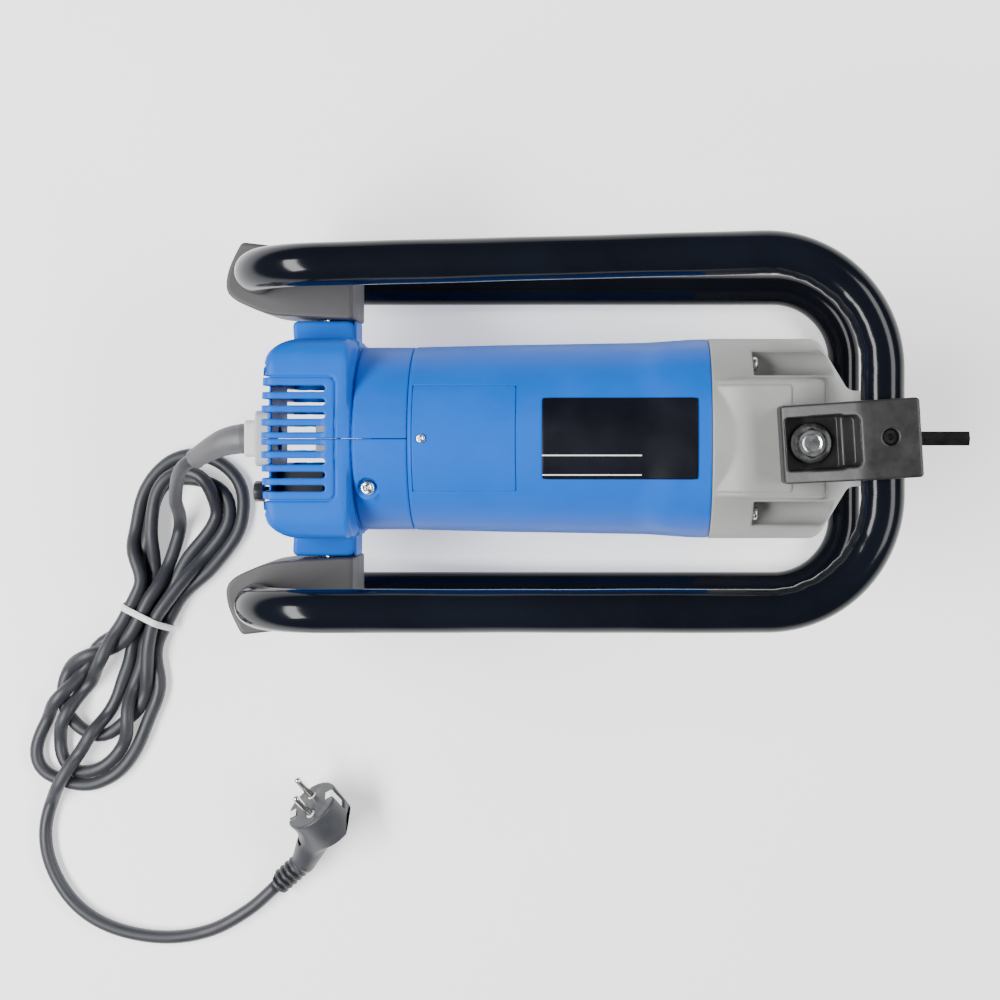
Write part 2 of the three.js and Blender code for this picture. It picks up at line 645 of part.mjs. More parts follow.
// ---- front clamps ----
// A clamp seen from the side: an arm on the nose's seat and a block round a cross bar. outward is +1 for
// the upper clamp; blockReach and armReach are its outer heights from the motor axis.
function clampBody(outward, blockReach, armReach) {
  const seat = padHeight + gap;
  const side = polygon([[clampRearX, seat], [clampRearX, armReach], [clampBlockX, blockReach],
    [clampFrontX, blockReach], [clampFrontX, seat]].map(([x, z]) => [x, axisHeight + outward * z]));
  const floor = seat + clampFloor;
  const pocket = polygon([[clampPocketRearX, floor], [clampPocketRearX, blockReach + 5],
    [clampPocketFrontX, blockReach + 5], [clampPocketFrontX, floor + 9], [clampStepX, floor + 9],
    [clampStepX - 5, floor]].map(([x, z]) => [x, axisHeight + outward * z]));
  const holeEnds = [axisHeight + outward * (seat - 1), axisHeight + outward * (floor + 1)];
  return extruded(side, 'y', -clampHalfWidth, clampHalfWidth)
    .subtract(extruded(pocket, 'y', -clampPocketHalf, clampPocketHalf))
    .subtract(barZ(Math.min(...holeEnds), Math.max(...holeEnds), clampBoltX, 0, clampBoltRadius + gap));
}

function clampBolt(name, outward) {
  const seat = axisHeight + outward * (padHeight + gap + clampFloor + gap);
  const washer = [seat, seat + outward * washerThickness];
  const washerBody = barZ(Math.min(...washer), Math.max(...washer), clampBoltX, clampBoltY, washerRadius)
    .subtract(barZ(seat - 5, seat + 5, clampBoltX, clampBoltY, clampBoltRadius + gap));
  part(`clamp_washer_${name}`, 'zinc', washerBody);
  const under = washer[1] + outward * gap;
  const head = [under, under + outward * clampBoltHead];
  const hex = extruded(flatsPolygon(clampBoltFlats / 2, 6), 'z', Math.min(...head), Math.max(...head))
    .translate([clampBoltX, clampBoltY, 0]);
  const shank = [under - outward * clampBoltLength, under + outward];
  part(`clamp_bolt_${name}`, 'zinc',
    hex.add(barZ(Math.min(...shank), Math.max(...shank), clampBoltX, clampBoltY, clampBoltRadius)));
}

function clamps() {
  const boreReach = clampHalfWidth + 10;
  const sleeveBore = holeFacets * (sleeveRadius / Math.cos(Math.PI / tubeSides) + gap);
  const tubeBore = holeFacets * (tubeRadius / Math.cos(Math.PI / tubeSides) + gap);
  const upper = clampBody(1, clampTop, clampArmRear)
    .translate([-clampBoltX, 0, 0]).rotate([0, 0, clampSkew]).translate([clampBoltX, clampBoltY, 0])
    .subtract(barY(-boreReach, boreReach, hoopFrontX, upperRailZ, sleeveBore))
    .subtract(barZ(upperRailZ, axisHeight + clampTop + 1, setScrewX, setScrewY, setScrewRadius + 0.6));
  part('front_clamp_top', 'clamp', upper);
  const grubLow = upperRailZ + sleeveRadius + gap;
  const grubTop = grubLow + setScrewLength;
  part('clamp_set_screw_top', 'steel', barZ(grubLow, grubTop, setScrewX, setScrewY, setScrewRadius)
    .subtract(extruded(flatsPolygon(2, 6), 'z', grubTop - 2, grubTop + 1).translate([setScrewX, setScrewY, 0])));

  const lower = clampBody(-1, lowerClampReach, clampArmRear).translate([0, clampBoltY, 0])
    .subtract(barY(-boreReach, boreReach, hoopFrontX, tubeRadius, tubeBore))
    .subtract(barX(hoopFrontX, clampFrontX + 1, 0, 20, 3 + gap, 16));
  part('front_clamp_bottom', 'clamp', lower);
  clampBolt('top', 1);
  clampBolt('bottom', -1);
}

// ---- rotor, bearings and drive ----
function rotor() {
  const journalX = rearBearing.x + rearBearing.width + 2;
  const frontEnd = frontBearing.x + frontBearing.width + 2;
  part('rotor_shaft', 'steel', turned([[shaftRearX, 0], [shaftRearX, rearJournalRadius],
    [journalX, rearJournalRadius], [journalX, shaftRadius], [frontEnd, shaftRadius], [frontEnd, 0]], 16));
  const bore = shaftRadius + gap;
  let core = ring(armatureRearX, armatureFrontX, bore, armatureRadius);
  let winding = ring(armatureRearX - windingOverhang, armatureRearX - gap, windingInner, windingOuter, 20)
    .add(ring(armatureFrontX + gap, armatureFrontX + windingOverhang, windingInner, windingOuter, 20));
  for (let i = 0; i < armatureSlots; i++) {
    const turn = [i * 360 / armatureSlots, 0, 0];
    const place = [0, 0, axisHeight];
    core = core.subtract(box(armatureRearX - 1, armatureFrontX + 1, -armatureSlotHalf, armatureSlotHalf,
      armatureRadius - armatureSlotDepth, armatureRadius + 1).rotate(turn).translate(place));
    winding = winding.add(box(armatureRearX - 1, armatureFrontX + 1, gap - armatureSlotHalf,
      armatureSlotHalf - gap,
      armatureRadius - armatureSlotDepth + gap, windingOuter - 1).rotate(turn).translate(place));
  }
  part('armature_core', 'laminate', core);
  part('armature_winding', 'copper', winding);
  part('commutator', 'copper', ring(commutatorX, commutatorX + commutatorWidth, bore, commutatorRadius, 20));

  let fan = ring(fanX, fanX + fanWidth, bore, fanHubRadius, 16)
    .add(ring(fanX, fanX + fanDisc, bore, fanRadius, 24));
  for (let i = 0; i < fanBlades; i++) {
    fan = fan.add(box(fanX, fanX + fanWidth, -fanBladeHalf, fanBladeHalf, fanHubRadius - 1, fanRadius - 1)
      .rotate([i * 360 / fanBlades, 0, 0]).translate([0, 0, axisHeight]));
  }
  part('cooling_fan', 'black', fan);

  const hubX = frontEnd + gap;
  const hex = extruded(flatsPolygon(spindleFlats / 2, 6), 'x', spindleHexX - 1, spindleTipX)
    .translate([0, 0, axisHeight]);
  part('drive_spindle', 'black', turned([[hubX, 0], [hubX, spindleHubRadius], [spindleHexX, spindleHubRadius],
    [spindleHexX, 0]], 16).add(hex));
  part('front_bearing', 'steel', ring(frontBearing.x, frontBearing.x + frontBearing.width,
    shaftRadius + runningGap, frontBearing.radius, 20));
  part('rear_bearing', 'steel', ring(rearBearing.x, rearBearing.x + rearBearing.width,
    rearJournalRadius + runningGap, rearBearing.radius, 20));
}

function rearBearingBracket() {
  const seat = rearBearing.radius + gap;
  const x = rearBearing.x;
  let body = ring(x - 2, x + rearBearing.width + 2, seat, seat + 4)
    .add(ring(x + 2, x + 6, seat + 1, neckRadius - housingWall - gap));
  for (let i = 0; i < 4; i++) {
    body = body.subtract(box(x - 5, x + 15, -13, 13, seat + 10, 48)
      .rotate([i * 90, 0, 0]).translate([0, 0, axisHeight]));
  }
  const screwTop = axisHeight + neckRadius;
  part('rear_bearing_bracket', 'black', body
    .subtract(barZ(axisHeight + 30, screwTop, neckScrewX, neckScrewY, screwHeadRadius + 4)));
}

// ---- stator and field coils ----
function stator() {
  const poleRadius = armatureRadius + airGap;
  const yoke = ring(armatureRearX, armatureFrontX, statorRadius - yokeThickness, statorRadius);
  const poles = box(armatureRearX, armatureFrontX, -poleHalf, poleHalf,
    axisHeight - statorRadius + 7, axisHeight + statorRadius - 7);
  const bore = turned([[armatureRearX - 1, 0], [armatureRearX - 1, poleRadius], [armatureFrontX + 1, poleRadius],
    [armatureFrontX + 1, 0]]);
  part('stator_core', 'laminate', yoke.add(poles).subtract(bore));
  const coilShell = ring(armatureRearX - coilOverhang, armatureFrontX + coilOverhang, poleRadius + 2, statorRadius - yokeThickness - gap);
  const window = poleHalf + gap;
  for (const [name, outward] of [['upper', 1], ['lower', -1]]) {
    const [low, high] = outward > 0 ? [axisHeight + coilParting, 200] : [-20, axisHeight - coilParting];
    part(`field_coil_${name}`, 'copper', coilShell.intersect(box(-100, 100, -80, 80, low, high))
      .subtract(box(armatureRearX - gap, armatureFrontX + gap, -window, window, low - 1, high)));
  }
}

// ---- brush gear ----
function brushGear() {
  const outerX = brushHalfX + runningGap + holderWall;
  const outerY = brushHalfY + runningGap + holderWall;
  const yokeX = [brushX - 7, brushX + 7];
  let yoke = ring(yokeX[0], yokeX[1], holderTop - 6, statorRadius - 0.5);
  const brushStart = commutatorRadius + gap;
  const springStart = brushStart + brushLength + gap;
  const springEnd = holderTop - holderWall - gap;
  for (const [name, outward] of [['top', 1], ['bottom', -1]]) {
    // Places are worked out above the axis and turned half round it for the lower brush.
    const place = (body) => body.rotate([outward > 0 ? 0 : 180, 0, 0]).translate([0, 0, axisHeight]);
    yoke = yoke.subtract(place(box(brushX - outerX - gap, brushX + outerX + gap, -outerY - gap, outerY + gap,
      holderBase, holderTop + gap)));
    const holder = box(brushX - outerX, brushX + outerX, -outerY, outerY, holderBase, holderTop)
      .subtract(box(brushX - brushHalfX - runningGap, brushX + brushHalfX + runningGap,
        -brushHalfY - runningGap, brushHalfY + runningGap, holderBase - 1, holderTop - holderWall));
    part(`brush_holder_${name}`, 'brass', place(holder));
    part(`carbon_brush_${name}`, 'carbon', place(box(brushX - brushHalfX, brushX + brushHalfX,
      -brushHalfY, brushHalfY, brushStart, brushStart + brushLength)));
    const wireSteps = springTurns * 6;
    const wire = Array.from({ length: wireSteps + 1 }, (_, i) => {
      const turn = i * Math.PI / 3;
      const rise = springStart + springWire + (springEnd - springStart - 2 * springWire) * i / wireSteps;
      return new THREE.Vector3(brushX + springRadius * Math.cos(turn), springRadius * Math.sin(turn), rise);
    });
    part(`brush_spring_${name}`, 'steel', place(swept(flatsPolygon(springWire, 4), wire)));
  }
  part('brush_yoke', 'black', yoke);
}

// ---- cable entry and power button ----
function cableEntry() {
  const plateFront = rearBoxRearX - gap;
  const low = axisHeight - glandPlateHalf;
  const high = axisHeight + glandPlateHalf;
  const plate = extruded(roundedRectangle(-glandPlateHalf, glandPlateHalf, low, high, 5), 'x',
    glandPlateX, plateFront);
  part('cable_gland_plate', 'white', plate);
  part('cable_gland', 'white', barX(glandX, glandPlateX - gap, 0, axisHeight, glandRadius));
  const collarX = glandX - gap - 6;
  const start = new THREE.Vector3(collarX, 0, axisHeight);
  part('cord_sleeve', 'rubber', bar(start, sleeveTip, reliefBaseRadius, reliefTipRadius)
    .add(barX(collarX - 1, glandX - gap, 0, axisHeight, reliefBaseRadius)));
  part('terminal_block', 'white', box(...terminalBox));
}

function powerButton() {
  const bodyX = rearBoxRearX + housingWall + 1.5;
  const bushingEnd = buttonX + buttonHead + buttonTravel + 0.5;
  const stemBore = buttonStemRadius + runningGap;
  const stemEnd = bodyX + 6;
  const body = box(bodyX, bodyX + switchLength, buttonY - switchHalfWidth, buttonY + switchHalfWidth,
    axisHeight - switchHalfHeight, axisHeight + switchHalfHeight)
    .add(barX(bushingEnd, bodyX + 1, buttonY, axisHeight, bushingRadius, 16))
    .subtract(barX(bushingEnd - 1, stemEnd + buttonTravel + 1, buttonY, axisHeight, stemBore, 16));
  part('power_switch', 'black', body);
  const head = buttonX + buttonHead;
  part('power_button', 'black', bar(new THREE.Vector3(buttonX + 2, buttonY, axisHeight),
    new THREE.Vector3(head, buttonY, axisHeight), buttonRadius, buttonRadius, 12)
    .add(bar(new THREE.Vector3(buttonX, buttonY, axisHeight), new THREE.Vector3(buttonX + 2, buttonY, axisHeight),
      buttonRadius - 2, buttonRadius, 12))
    .add(barX(head - 1, stemEnd, buttonY, axisHeight, buttonStemRadius, 12)));
}

// ---- mains cord and plug ----
function smoothRoute(points, step) {
  const curve = new THREE.CatmullRomCurve3(points.map((p) => new THREE.Vector3(...p)));
  return curve.getSpacedPoints(Math.round(curve.getLength() / step));
}

// A point of the hank's own plan: along its axis, then to its right.
function hankPoint([along, across]) {
  const [ux, uy] = hankAxis;
  return [hankCentre[0] + along * ux + across * uy, hankCentre[1] + along * uy - across * ux];
}

function mainsCord() {
  const section = flatsPolygon(cordRadius, cordSides);
  part('cord_lead', 'rubber', swept(section, smoothRoute(leadPoints, 7)));
  part('cord_tail', 'rubber', swept(section, smoothRoute(tailPoints, 14)));
  const outline = new THREE.CatmullRomCurve3(hankOutline.map((p) => new THREE.Vector3(...hankPoint(p), 0)), true);
  const shape = new THREE.Shape(outline.getSpacedPoints(48).slice(0, -1).map((p) => new THREE.Vector2(p.x, p.y)));
  part('cord_hank', 'rubber', extruded(shape, 'z', hankFloor, hankTop));
  const reach = 19.6;
  const tieAngle = Math.atan2(hankAxis[1], hankAxis[0]) * 180 / Math.PI;
  const tie = box(-tieWidth / 2, tieWidth / 2, -reach - tieThickness, reach + tieThickness,
    hankFloor - gap - tieThickness, hankTop + gap + tieThickness)
    .subtract(box(-tieWidth, tieWidth, -reach, reach, hankFloor - gap, hankTop + gap));
  part('cord_tie', 'white', tie.rotate([0, 0, tieAngle]).translate([hankCentre[0], hankCentre[1], 0]));
}

function plug() {
  const rear = plugFace.clone().addScaledVector(plugNormal, -plugDepth);
  const waist = plugFace.clone().addScaledVector(plugNormal, -plugDepth + 12);
  const hood = bar(waist.clone().addScaledVector(plugNormal, -2), bootStart, 12, bootRadius + 0.5, 16);
  const boot = bar(bootStart, bootEnd, bootRadius, bootRadius, 16);
  part('plug_body', 'rubber', bar(rear, plugFace, plugRadius - 2, plugRadius, 28).add(hood).add(boot));
  const line = plugPinLine.clone().addScaledVector(plugNormal, -plugPinLine.dot(plugNormal)).normalize();
  [1, -1].forEach((side, i) => {
    const foot = plugFace.clone().addScaledVector(line, side * pinSpacing / 2).addScaledVector(plugNormal, gap);
    part(`plug_pin_${i + 1}`, 'steel', bar(foot, foot.clone().addScaledVector(plugNormal, pinLength),
      pinRadius, pinRadius * 0.8, 12));
  });
}

hoops();
brackets();
rearHousing();
motorHousing();
noseCasting();
clamps();
rotor();
rearBearingBracket();
stator();
brushGear();
cableEntry();
powerButton();
mainsCord();
plug();

// The machine is centred on its own length; the cord is left out of that.
parts.position.x = -(spindleTipX + bracketRearX) / 2;

export default parts;
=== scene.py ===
"""Visual model of a portable concrete vibrator's drive unit: a brushed mains motor in a moulded blue
housing with a grey cast nose and a hex drive spindle, carried by two bent tube hoops, with its mains
cord tied up in a hank. +X points to the spindle, +Y to the left side, +Z up, and the floor is z = 0.
Sizes are written in millimetres; mesh() turns them into metres."""

import bmesh
import bpy
import numpy as np
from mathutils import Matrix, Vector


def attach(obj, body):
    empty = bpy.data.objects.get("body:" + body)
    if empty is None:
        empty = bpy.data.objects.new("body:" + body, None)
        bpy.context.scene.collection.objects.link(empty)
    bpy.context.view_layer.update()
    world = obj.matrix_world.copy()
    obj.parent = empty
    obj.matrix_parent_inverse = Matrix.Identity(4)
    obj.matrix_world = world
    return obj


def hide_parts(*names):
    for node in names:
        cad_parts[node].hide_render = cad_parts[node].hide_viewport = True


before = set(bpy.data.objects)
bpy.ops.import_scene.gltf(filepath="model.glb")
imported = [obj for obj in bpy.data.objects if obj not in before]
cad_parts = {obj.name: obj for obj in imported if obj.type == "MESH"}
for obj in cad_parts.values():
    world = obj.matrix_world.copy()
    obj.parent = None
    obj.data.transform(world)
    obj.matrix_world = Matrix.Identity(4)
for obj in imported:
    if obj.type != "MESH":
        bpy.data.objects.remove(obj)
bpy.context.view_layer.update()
AXIS_Z = 98.5  # motor axis above the floor

# ---- mains cord ----
# Round flexible cord with a dark grey rubber jacket over three cores. The whole cord can be seen: it
# leaves the sleeve at the rear, is folded seven times through one white tie, and ends in its plug.
CORD_RADIUS = 4.7
CORD_STEP = 4.5  # spacing of the points along its centre line
TIE_CENTRE = np.array((-326.6, -128.4))
HANK_UP = np.array((0.451, 0.894))  # along the hank, in x and y
HANK_ACROSS = np.array((0.894, -0.451))
HANK_SCALE = 0.72
BUNDLE_HALF = 13.6  # strand centres stay inside this at the tie
BUNDLE_LOW, BUNDLE_HIGH = 6.2, 15.3
LEAD = [(-268, -9.3, 87.6, 1), (-277, -14.4, 82.5, 1), (-283.4, -17.6, 78.8, 1), (-290, -24, 69, 1),
        (-295.5, -34, 54.5, 1), (-299.5, -45, 40, 1), (-302, -54, 29, 0), (-307.2, -75.6, 19, 0),
        (-314.3, -94.8, 16, 0), (-325.5, -113.6, 15.1, 0)]
TAIL = [(-392.4, -252.3, 15, 0), (-399, -268, 11, 0), (-401.8, -287, 6, 0), (-396.5, -311, 5, 0),
        (-379.1, -337.1, 5, 0), (-351.7, -353.7, 5, 0), (-315.5, -360.2, 5, 0), (-283, -355.2, 5.4, 1),
        (-254.8, -340, 6.8, 1), (-233.6, -321.4, 8.8, 1)]
# The hank's strand: (along, across, height) from the tie, one fold up or down the hank after another.
FOLDS = [
    (0, -11, 15), (-37, -22, 15), (-62, -33, 11), (-88, -41, 7), (-110, -42, 5), (-125, -30, 5), (-131, -6, 5),
    (-123, 18, 5), (-98, 29, 5), (-73, 29, 6), (-46, 23, 8), (-19, 13, 15),
    (0, 7, 15), (30, 12, 15), (62, 21, 10), (92, 30, 6), (118, 30, 5), (138, 14, 5), (146, -10, 5),
    (139, -34, 5), (122, -50, 5), (98, -49, 5), (66, -38, 5), (30, -27, 5),
    (0, -19, 6), (-30, -26, 6), (-60, -33, 7), (-100, -41, 12), (-140, -44, 9), (-165, -43, 5), (-181, -34, 5),
    (-188, -16, 5), (-184, 8, 5), (-172, 27, 5), (-152, 42, 5), (-125, 48, 5), (-98, 46, 5), (-70, 41, 5),
    (-45, 33, 5), (-18, 22, 6),
    (0, 19, 6), (30, 21, 6), (62, 25, 6), (94, 32, 6), (120, 37, 6), (144, 33, 6), (161, 19, 7), (169, -5, 8),
    (166, -30, 9), (153, -48, 9), (134, -57, 8), (108, -57, 8), (80, -49, 8), (50, -38, 8), (20, -26, 12),
    (0, -17, 15), (-30, -20, 17), (-62, -25, 19), (-100, -28, 14), (-135, -27, 10), (-158, -20, 12),
    (-171, -3, 13), (-168, 16, 13), (-152, 30, 13), (-128, 34, 14), (-100, 28, 14), (-70, 22, 14), (-36, 14, 8),
    (0, 6, 6), (36, 7, 6), (72, 11, 6), (104, 18, 7), (128, 16, 13), (144, 0, 14), (148, -22, 14),
    (137, -41, 13), (114, -47, 12), (84, -38, 13), (46, -24, 14),
    (0, -6, 6.2), (-30, 4, 8), (-55, 6, 12), (-83, 8, 12), (-105, 7, 10), (-130, 3, 14), (-161, -0.5, 14)]


def spaced(points, step):
    """A Catmull-Rom curve through the points, cut into equal steps: each span is the cubic that leaves
    a point parallel to the line between its two neighbours."""
    p = np.asarray(points, float)
    p = np.vstack([2 * p[0] - p[1], p, 2 * p[-1] - p[-2]])
    t = np.linspace(0, 1, 24, endpoint=False)[:, None, None]
    a, b, c, d = p[:-3], p[1:-2], p[2:-1], p[3:]
    fine = 0.5 * (2 * b + (c - a) * t + (2 * a - 5 * b + 4 * c - d) * t**2 + (3 * b - a - 3 * c + d) * t**3)
    fine = np.vstack([fine.transpose(1, 0, 2).reshape(-1, p.shape[1]), p[-2]])
    along = np.concatenate([[0], np.cumsum(np.linalg.norm(np.diff(fine[:, :3], axis=0), axis=1))])
    places = np.linspace(0, along[-1], int(round(along[-1] / step)) + 1)
    return np.stack([np.interp(places, along, column) for column in fine.T], axis=1)


def settled(route, rounds):
    """The cord at rest: points pull towards the middle of their neighbours two steps away, drop, stay
    above the floor, inside the tie and near their route, and push each other a diameter apart."""
    held = route[:, 3:4].clip(0, 1)
    home, p = route[:, :3].copy(), route[:, :3].copy()
    n = len(p)
    apart = np.abs(np.subtract.outer(np.arange(n), np.arange(n))) > 4
    for _ in range(rounds):
        bend = np.zeros_like(p)
        bend[2:-2] = (4 * (p[1:-3] + p[3:-1]) - p[:-4] - p[4:]) / 6 - p[2:-2]
        p += (1 - held) * (0.55 * bend + 0.02 * (home - p) * np.array([1, 1, 0]) - np.array([0, 0, 0.06]))
        gaps = p[:, None] - p[None]
        far = np.linalg.norm(gaps, axis=2) + 1e-9
        push = np.where(apart, (2 * CORD_RADIUS + 0.15 - far).clip(0), 0) / far
        p += (1 - held) * 0.3 * np.einsum("ij,ijk->ik", push, gaps)
        along, across = (p[:, :2] - TIE_CENTRE) @ HANK_UP, (p[:, :2] - TIE_CENTRE) @ HANK_ACROSS
        near = np.exp(-(along / 14) ** 2)
        shift = (across.clip(-BUNDLE_HALF, BUNDLE_HALF) - across) * near
        p[:, :2] += shift[:, None] * HANK_ACROSS
        p[:, 2] += (p[:, 2].clip(BUNDLE_LOW, BUNDLE_HIGH) - p[:, 2]) * near * (1 - held[:, 0])
        p[:, 2] = np.maximum(p[:, 2], CORD_RADIUS + 0.1)
    return p


folds = np.array(FOLDS, float) * [HANK_SCALE, HANK_SCALE, 1]
hank = [(*(TIE_CENTRE + along * HANK_UP + across * HANK_ACROSS), height, 0) for along, across, height in folds]
cord_line = settled(spaced(LEAD + hank + TAIL, CORD_STEP), 300)


def mesh(name, points, faces, uv=None, smooth=True):
    """A mesh object from points in millimetres and its faces, with one (u, v) for each point if given."""
    data = bpy.data.meshes.new(name)
    data.from_pydata((np.asarray(points, float) * 0.001).tolist(), [], [list(map(int, f)) for f in faces])
    data.polygons.foreach_set("use_smooth", [smooth] * len(data.polygons))
    if uv is not None:
        loops = np.empty(len(data.loops), np.int32)
        data.loops.foreach_get("vertex_index", loops)
        data.uv_layers.new(name="UVMap").data.foreach_set("uv", np.asarray(uv, float)[loops].ravel())
    piece = bpy.data.objects.new(name, data)
    bpy.context.scene.collection.objects.link(piece)
    return piece


def grid_faces(rows, columns, wrap=True):
    """Quads between each row of points and the next; wrap joins the last column to the first."""
    i = np.arange(rows - 1)[:, None]
    j = np.arange(columns if wrap else columns - 1)[None]
    k = (j + 1) % columns
    quads = [i * columns + j, i * columns + k, (i + 1) * columns + k, (i + 1) * columns + j]
    return np.stack([np.broadcast_to(q, (rows - 1, j.shape[1])) for q in quads], -1).reshape(-1, 4).tolist()


def capped_faces(rows, columns):
    """Quads between rings of points, and a flat face over the first ring and the last."""
    ends = [list(range(columns))[::-1], list(range((rows - 1) * columns, rows * columns))]
    return grid_faces(rows, columns) + ends


def frames(line):
    """Two directions across a line at each point: the first is turned as little as possible from one
    point to the next, and the second is square to it and to the line."""
    along = np.gradient(line, axis=0)
    along /= np.linalg.norm(along, axis=1)[:, None]
    first = np.empty_like(along)
    side = np.cross(along[0], [0, 0, 1] if abs(along[0, 2]) < 0.9 else [0, 1, 0])
    for i, t in enumerate(along):
        side = side - (side @ t) * t
        side /= np.linalg.norm(side)
        first[i] = side
    return first, np.cross(along, first)


def tube(name, line, radius, sides=24):
    """A round bar along a line. Point (i, j) is line[i] + radius (cos a first + sin a second), with a
    going once round over j; radius may be one number or one for each i."""
    line = np.asarray(line, float)
    first, second = frames(line)
    a = np.linspace(0, 2 * np.pi, sides, endpoint=False)
    r = np.broadcast_to(np.asarray(radius, float).reshape(-1, 1), (len(line), sides))
    spokes = np.cos(a)[:, None] * first[:, None] + np.sin(a)[:, None] * second[:, None]
    points = line[:, None] + r[..., None] * spokes
    along = np.concatenate([[0], np.cumsum(np.linalg.norm(np.diff(line, axis=0), axis=1))])
    uv = np.stack(np.broadcast_arrays(np.abs(a / np.pi - 1), along[:, None] / 100), -1).reshape(-1, 2)
    return mesh(name, points.reshape(-1, 3), capped_faces(len(line), sides), uv)


def finish(name, colour, rough, metal=0.0, mottle=0.12, patch=35, grain=700, bump=0.15, depth=0.08, sheen=0.0,
           gloss_level=0.5, stretch=(1, 1, 1)):
    """A surface with broad patches and a fine grain. The patches, a noise with patch waves a metre, turn the
    colour between a darker and a paler shade and the roughness either way; the grain, with grain waves
    a metre, is a bump of depth millimetres. stretch squeezes both noises along the axes."""
    made = bpy.data.materials.new(name)
    made.use_nodes = True
    tree = made.node_tree
    shader = tree.nodes["Principled BSDF"]
    shader.inputs["Metallic"].default_value = metal
    shader.inputs["Sheen Weight"].default_value = sheen
    shader.inputs["Specular IOR Level"].default_value = gloss_level
    where = tree.nodes.new("ShaderNodeTexCoord")
    turn = tree.nodes.new("ShaderNodeMapping")
    turn.inputs["Scale"].default_value = stretch
    tree.links.new(where.outputs["Object"], turn.inputs["Vector"])
    patches = tree.nodes.new("ShaderNodeTexNoise")
    patches.inputs["Scale"].default_value = patch
    patches.inputs["Detail"].default_value = 5
    patches.inputs["Roughness"].default_value = 0.6
    fine = tree.nodes.new("ShaderNodeTexNoise")
    fine.inputs["Scale"].default_value = grain
    fine.inputs["Detail"].default_value = 3
    for noise in (patches, fine):
        tree.links.new(turn.outputs["Vector"], noise.inputs["Vector"])
    shades = tree.nodes.new("ShaderNodeValToRGB")
    low, high = shades.color_ramp.elements
    low.position, high.position = 0.3, 0.72
    low.color = (*(c * (1 - mottle) for c in colour), 1)
    high.color = (*(min(1, c * (1 + mottle)) for c in colour), 1)
    tree.links.new(patches.outputs["Fac"], shades.inputs["Fac"])
    tree.links.new(shades.outputs["Color"], shader.inputs["Base Color"])
    gloss = tree.nodes.new("ShaderNodeMapRange")
    gloss.inputs["From Min"].default_value, gloss.inputs["From Max"].default_value = 0.25, 0.75
    gloss.inputs["To Min"].default_value = rough * 0.82
    gloss.inputs["To Max"].default_value = min(1, rough * 1.2)
    tree.links.new(patches.outputs["Fac"], gloss.inputs["Value"])
    tree.links.new(gloss.outputs["Result"], shader.inputs["Roughness"])
    relief = tree.nodes.new("ShaderNodeBump")
    relief.inputs["Strength"].default_value = bump
    relief.inputs["Distance"].default_value = depth * 0.001
    tree.links.new(fine.outputs["Fac"], relief.inputs["Height"])
    tree.links.new(relief.outputs["Normal"], shader.inputs["Normal"])
    return made


def place(piece, body, slot, material, *stands_for):
    """Gives a new piece its finish and its body, and hides the nodes that it stands for; slot is not used."""
    piece.data.materials.append(material)
    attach(piece, body)
    if stands_for:
        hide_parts(*stands_for)
    return piece


def dress(material, *names):
    """Gives nodes whose shape stays their finish."""
    for name in names:
        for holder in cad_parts[name].material_slots:
            holder.link = "OBJECT"
            holder.material = material


cord_rubber = finish("cord_rubber", (0.022, 0.024, 0.03), 0.5, mottle=0.16, patch=60, grain=1400, bump=0.25,
                     depth=0.05, sheen=0.1)
cord = place(tube("mains_cord", cord_line, CORD_RADIUS, 16), "machine", "cord_rubber", cord_rubber,
             "cord_lead", "cord_hank", "cord_tail")

# ---- rear housing ----
# Two moulded blue shells, 3.5 mm thick, that meet in the middle plane: a vented box with rounded edges
# for the switch and terminals, a round neck behind the motor, and a tab each side for the brackets.
BLUE = (0.003, 0.1, 0.5)
BOX_HALF_WIDTH, BOX_HALF_HEIGHT = 66, 61.5
BOX_REAR, BOX_FRONT = -219, -161
NECK_RADIUS, NECK_FRONT = 60.8, -124.15
CASE_WALL = 3.5
SLOTS = (6.1, 14.6, 23.2, 31.7)  # slot centres from the seam
SEAM = 0.15  # from the middle plane to each half
NECK_SCREW = (-150, -31.5)
BRACKET_BOLT_X = -182
KNOB_Y = -35.3


def smax(a, b, k):
    """The larger of two distances, with the corner between them rounded over about k."""
    h = np.clip(0.5 + 0.5 * (a - b) / k, 0, 1)
    return b + (a - b) * h + k * h * (1 - h)


def smin(a, b, k):
    """The smaller of two distances, with a fillet of about k where they cross."""
    return -smax(-a, -b, k)


def rounded(a, b, half_a, half_b, radius):
    """Distance to a rectangle with round corners, in two directions."""
    p, q = np.abs(a) - half_a + radius, np.abs(b) - half_b + radius
    return np.hypot(np.maximum(p, 0), np.maximum(q, 0)) + np.minimum(np.maximum(p, q), 0) - radius


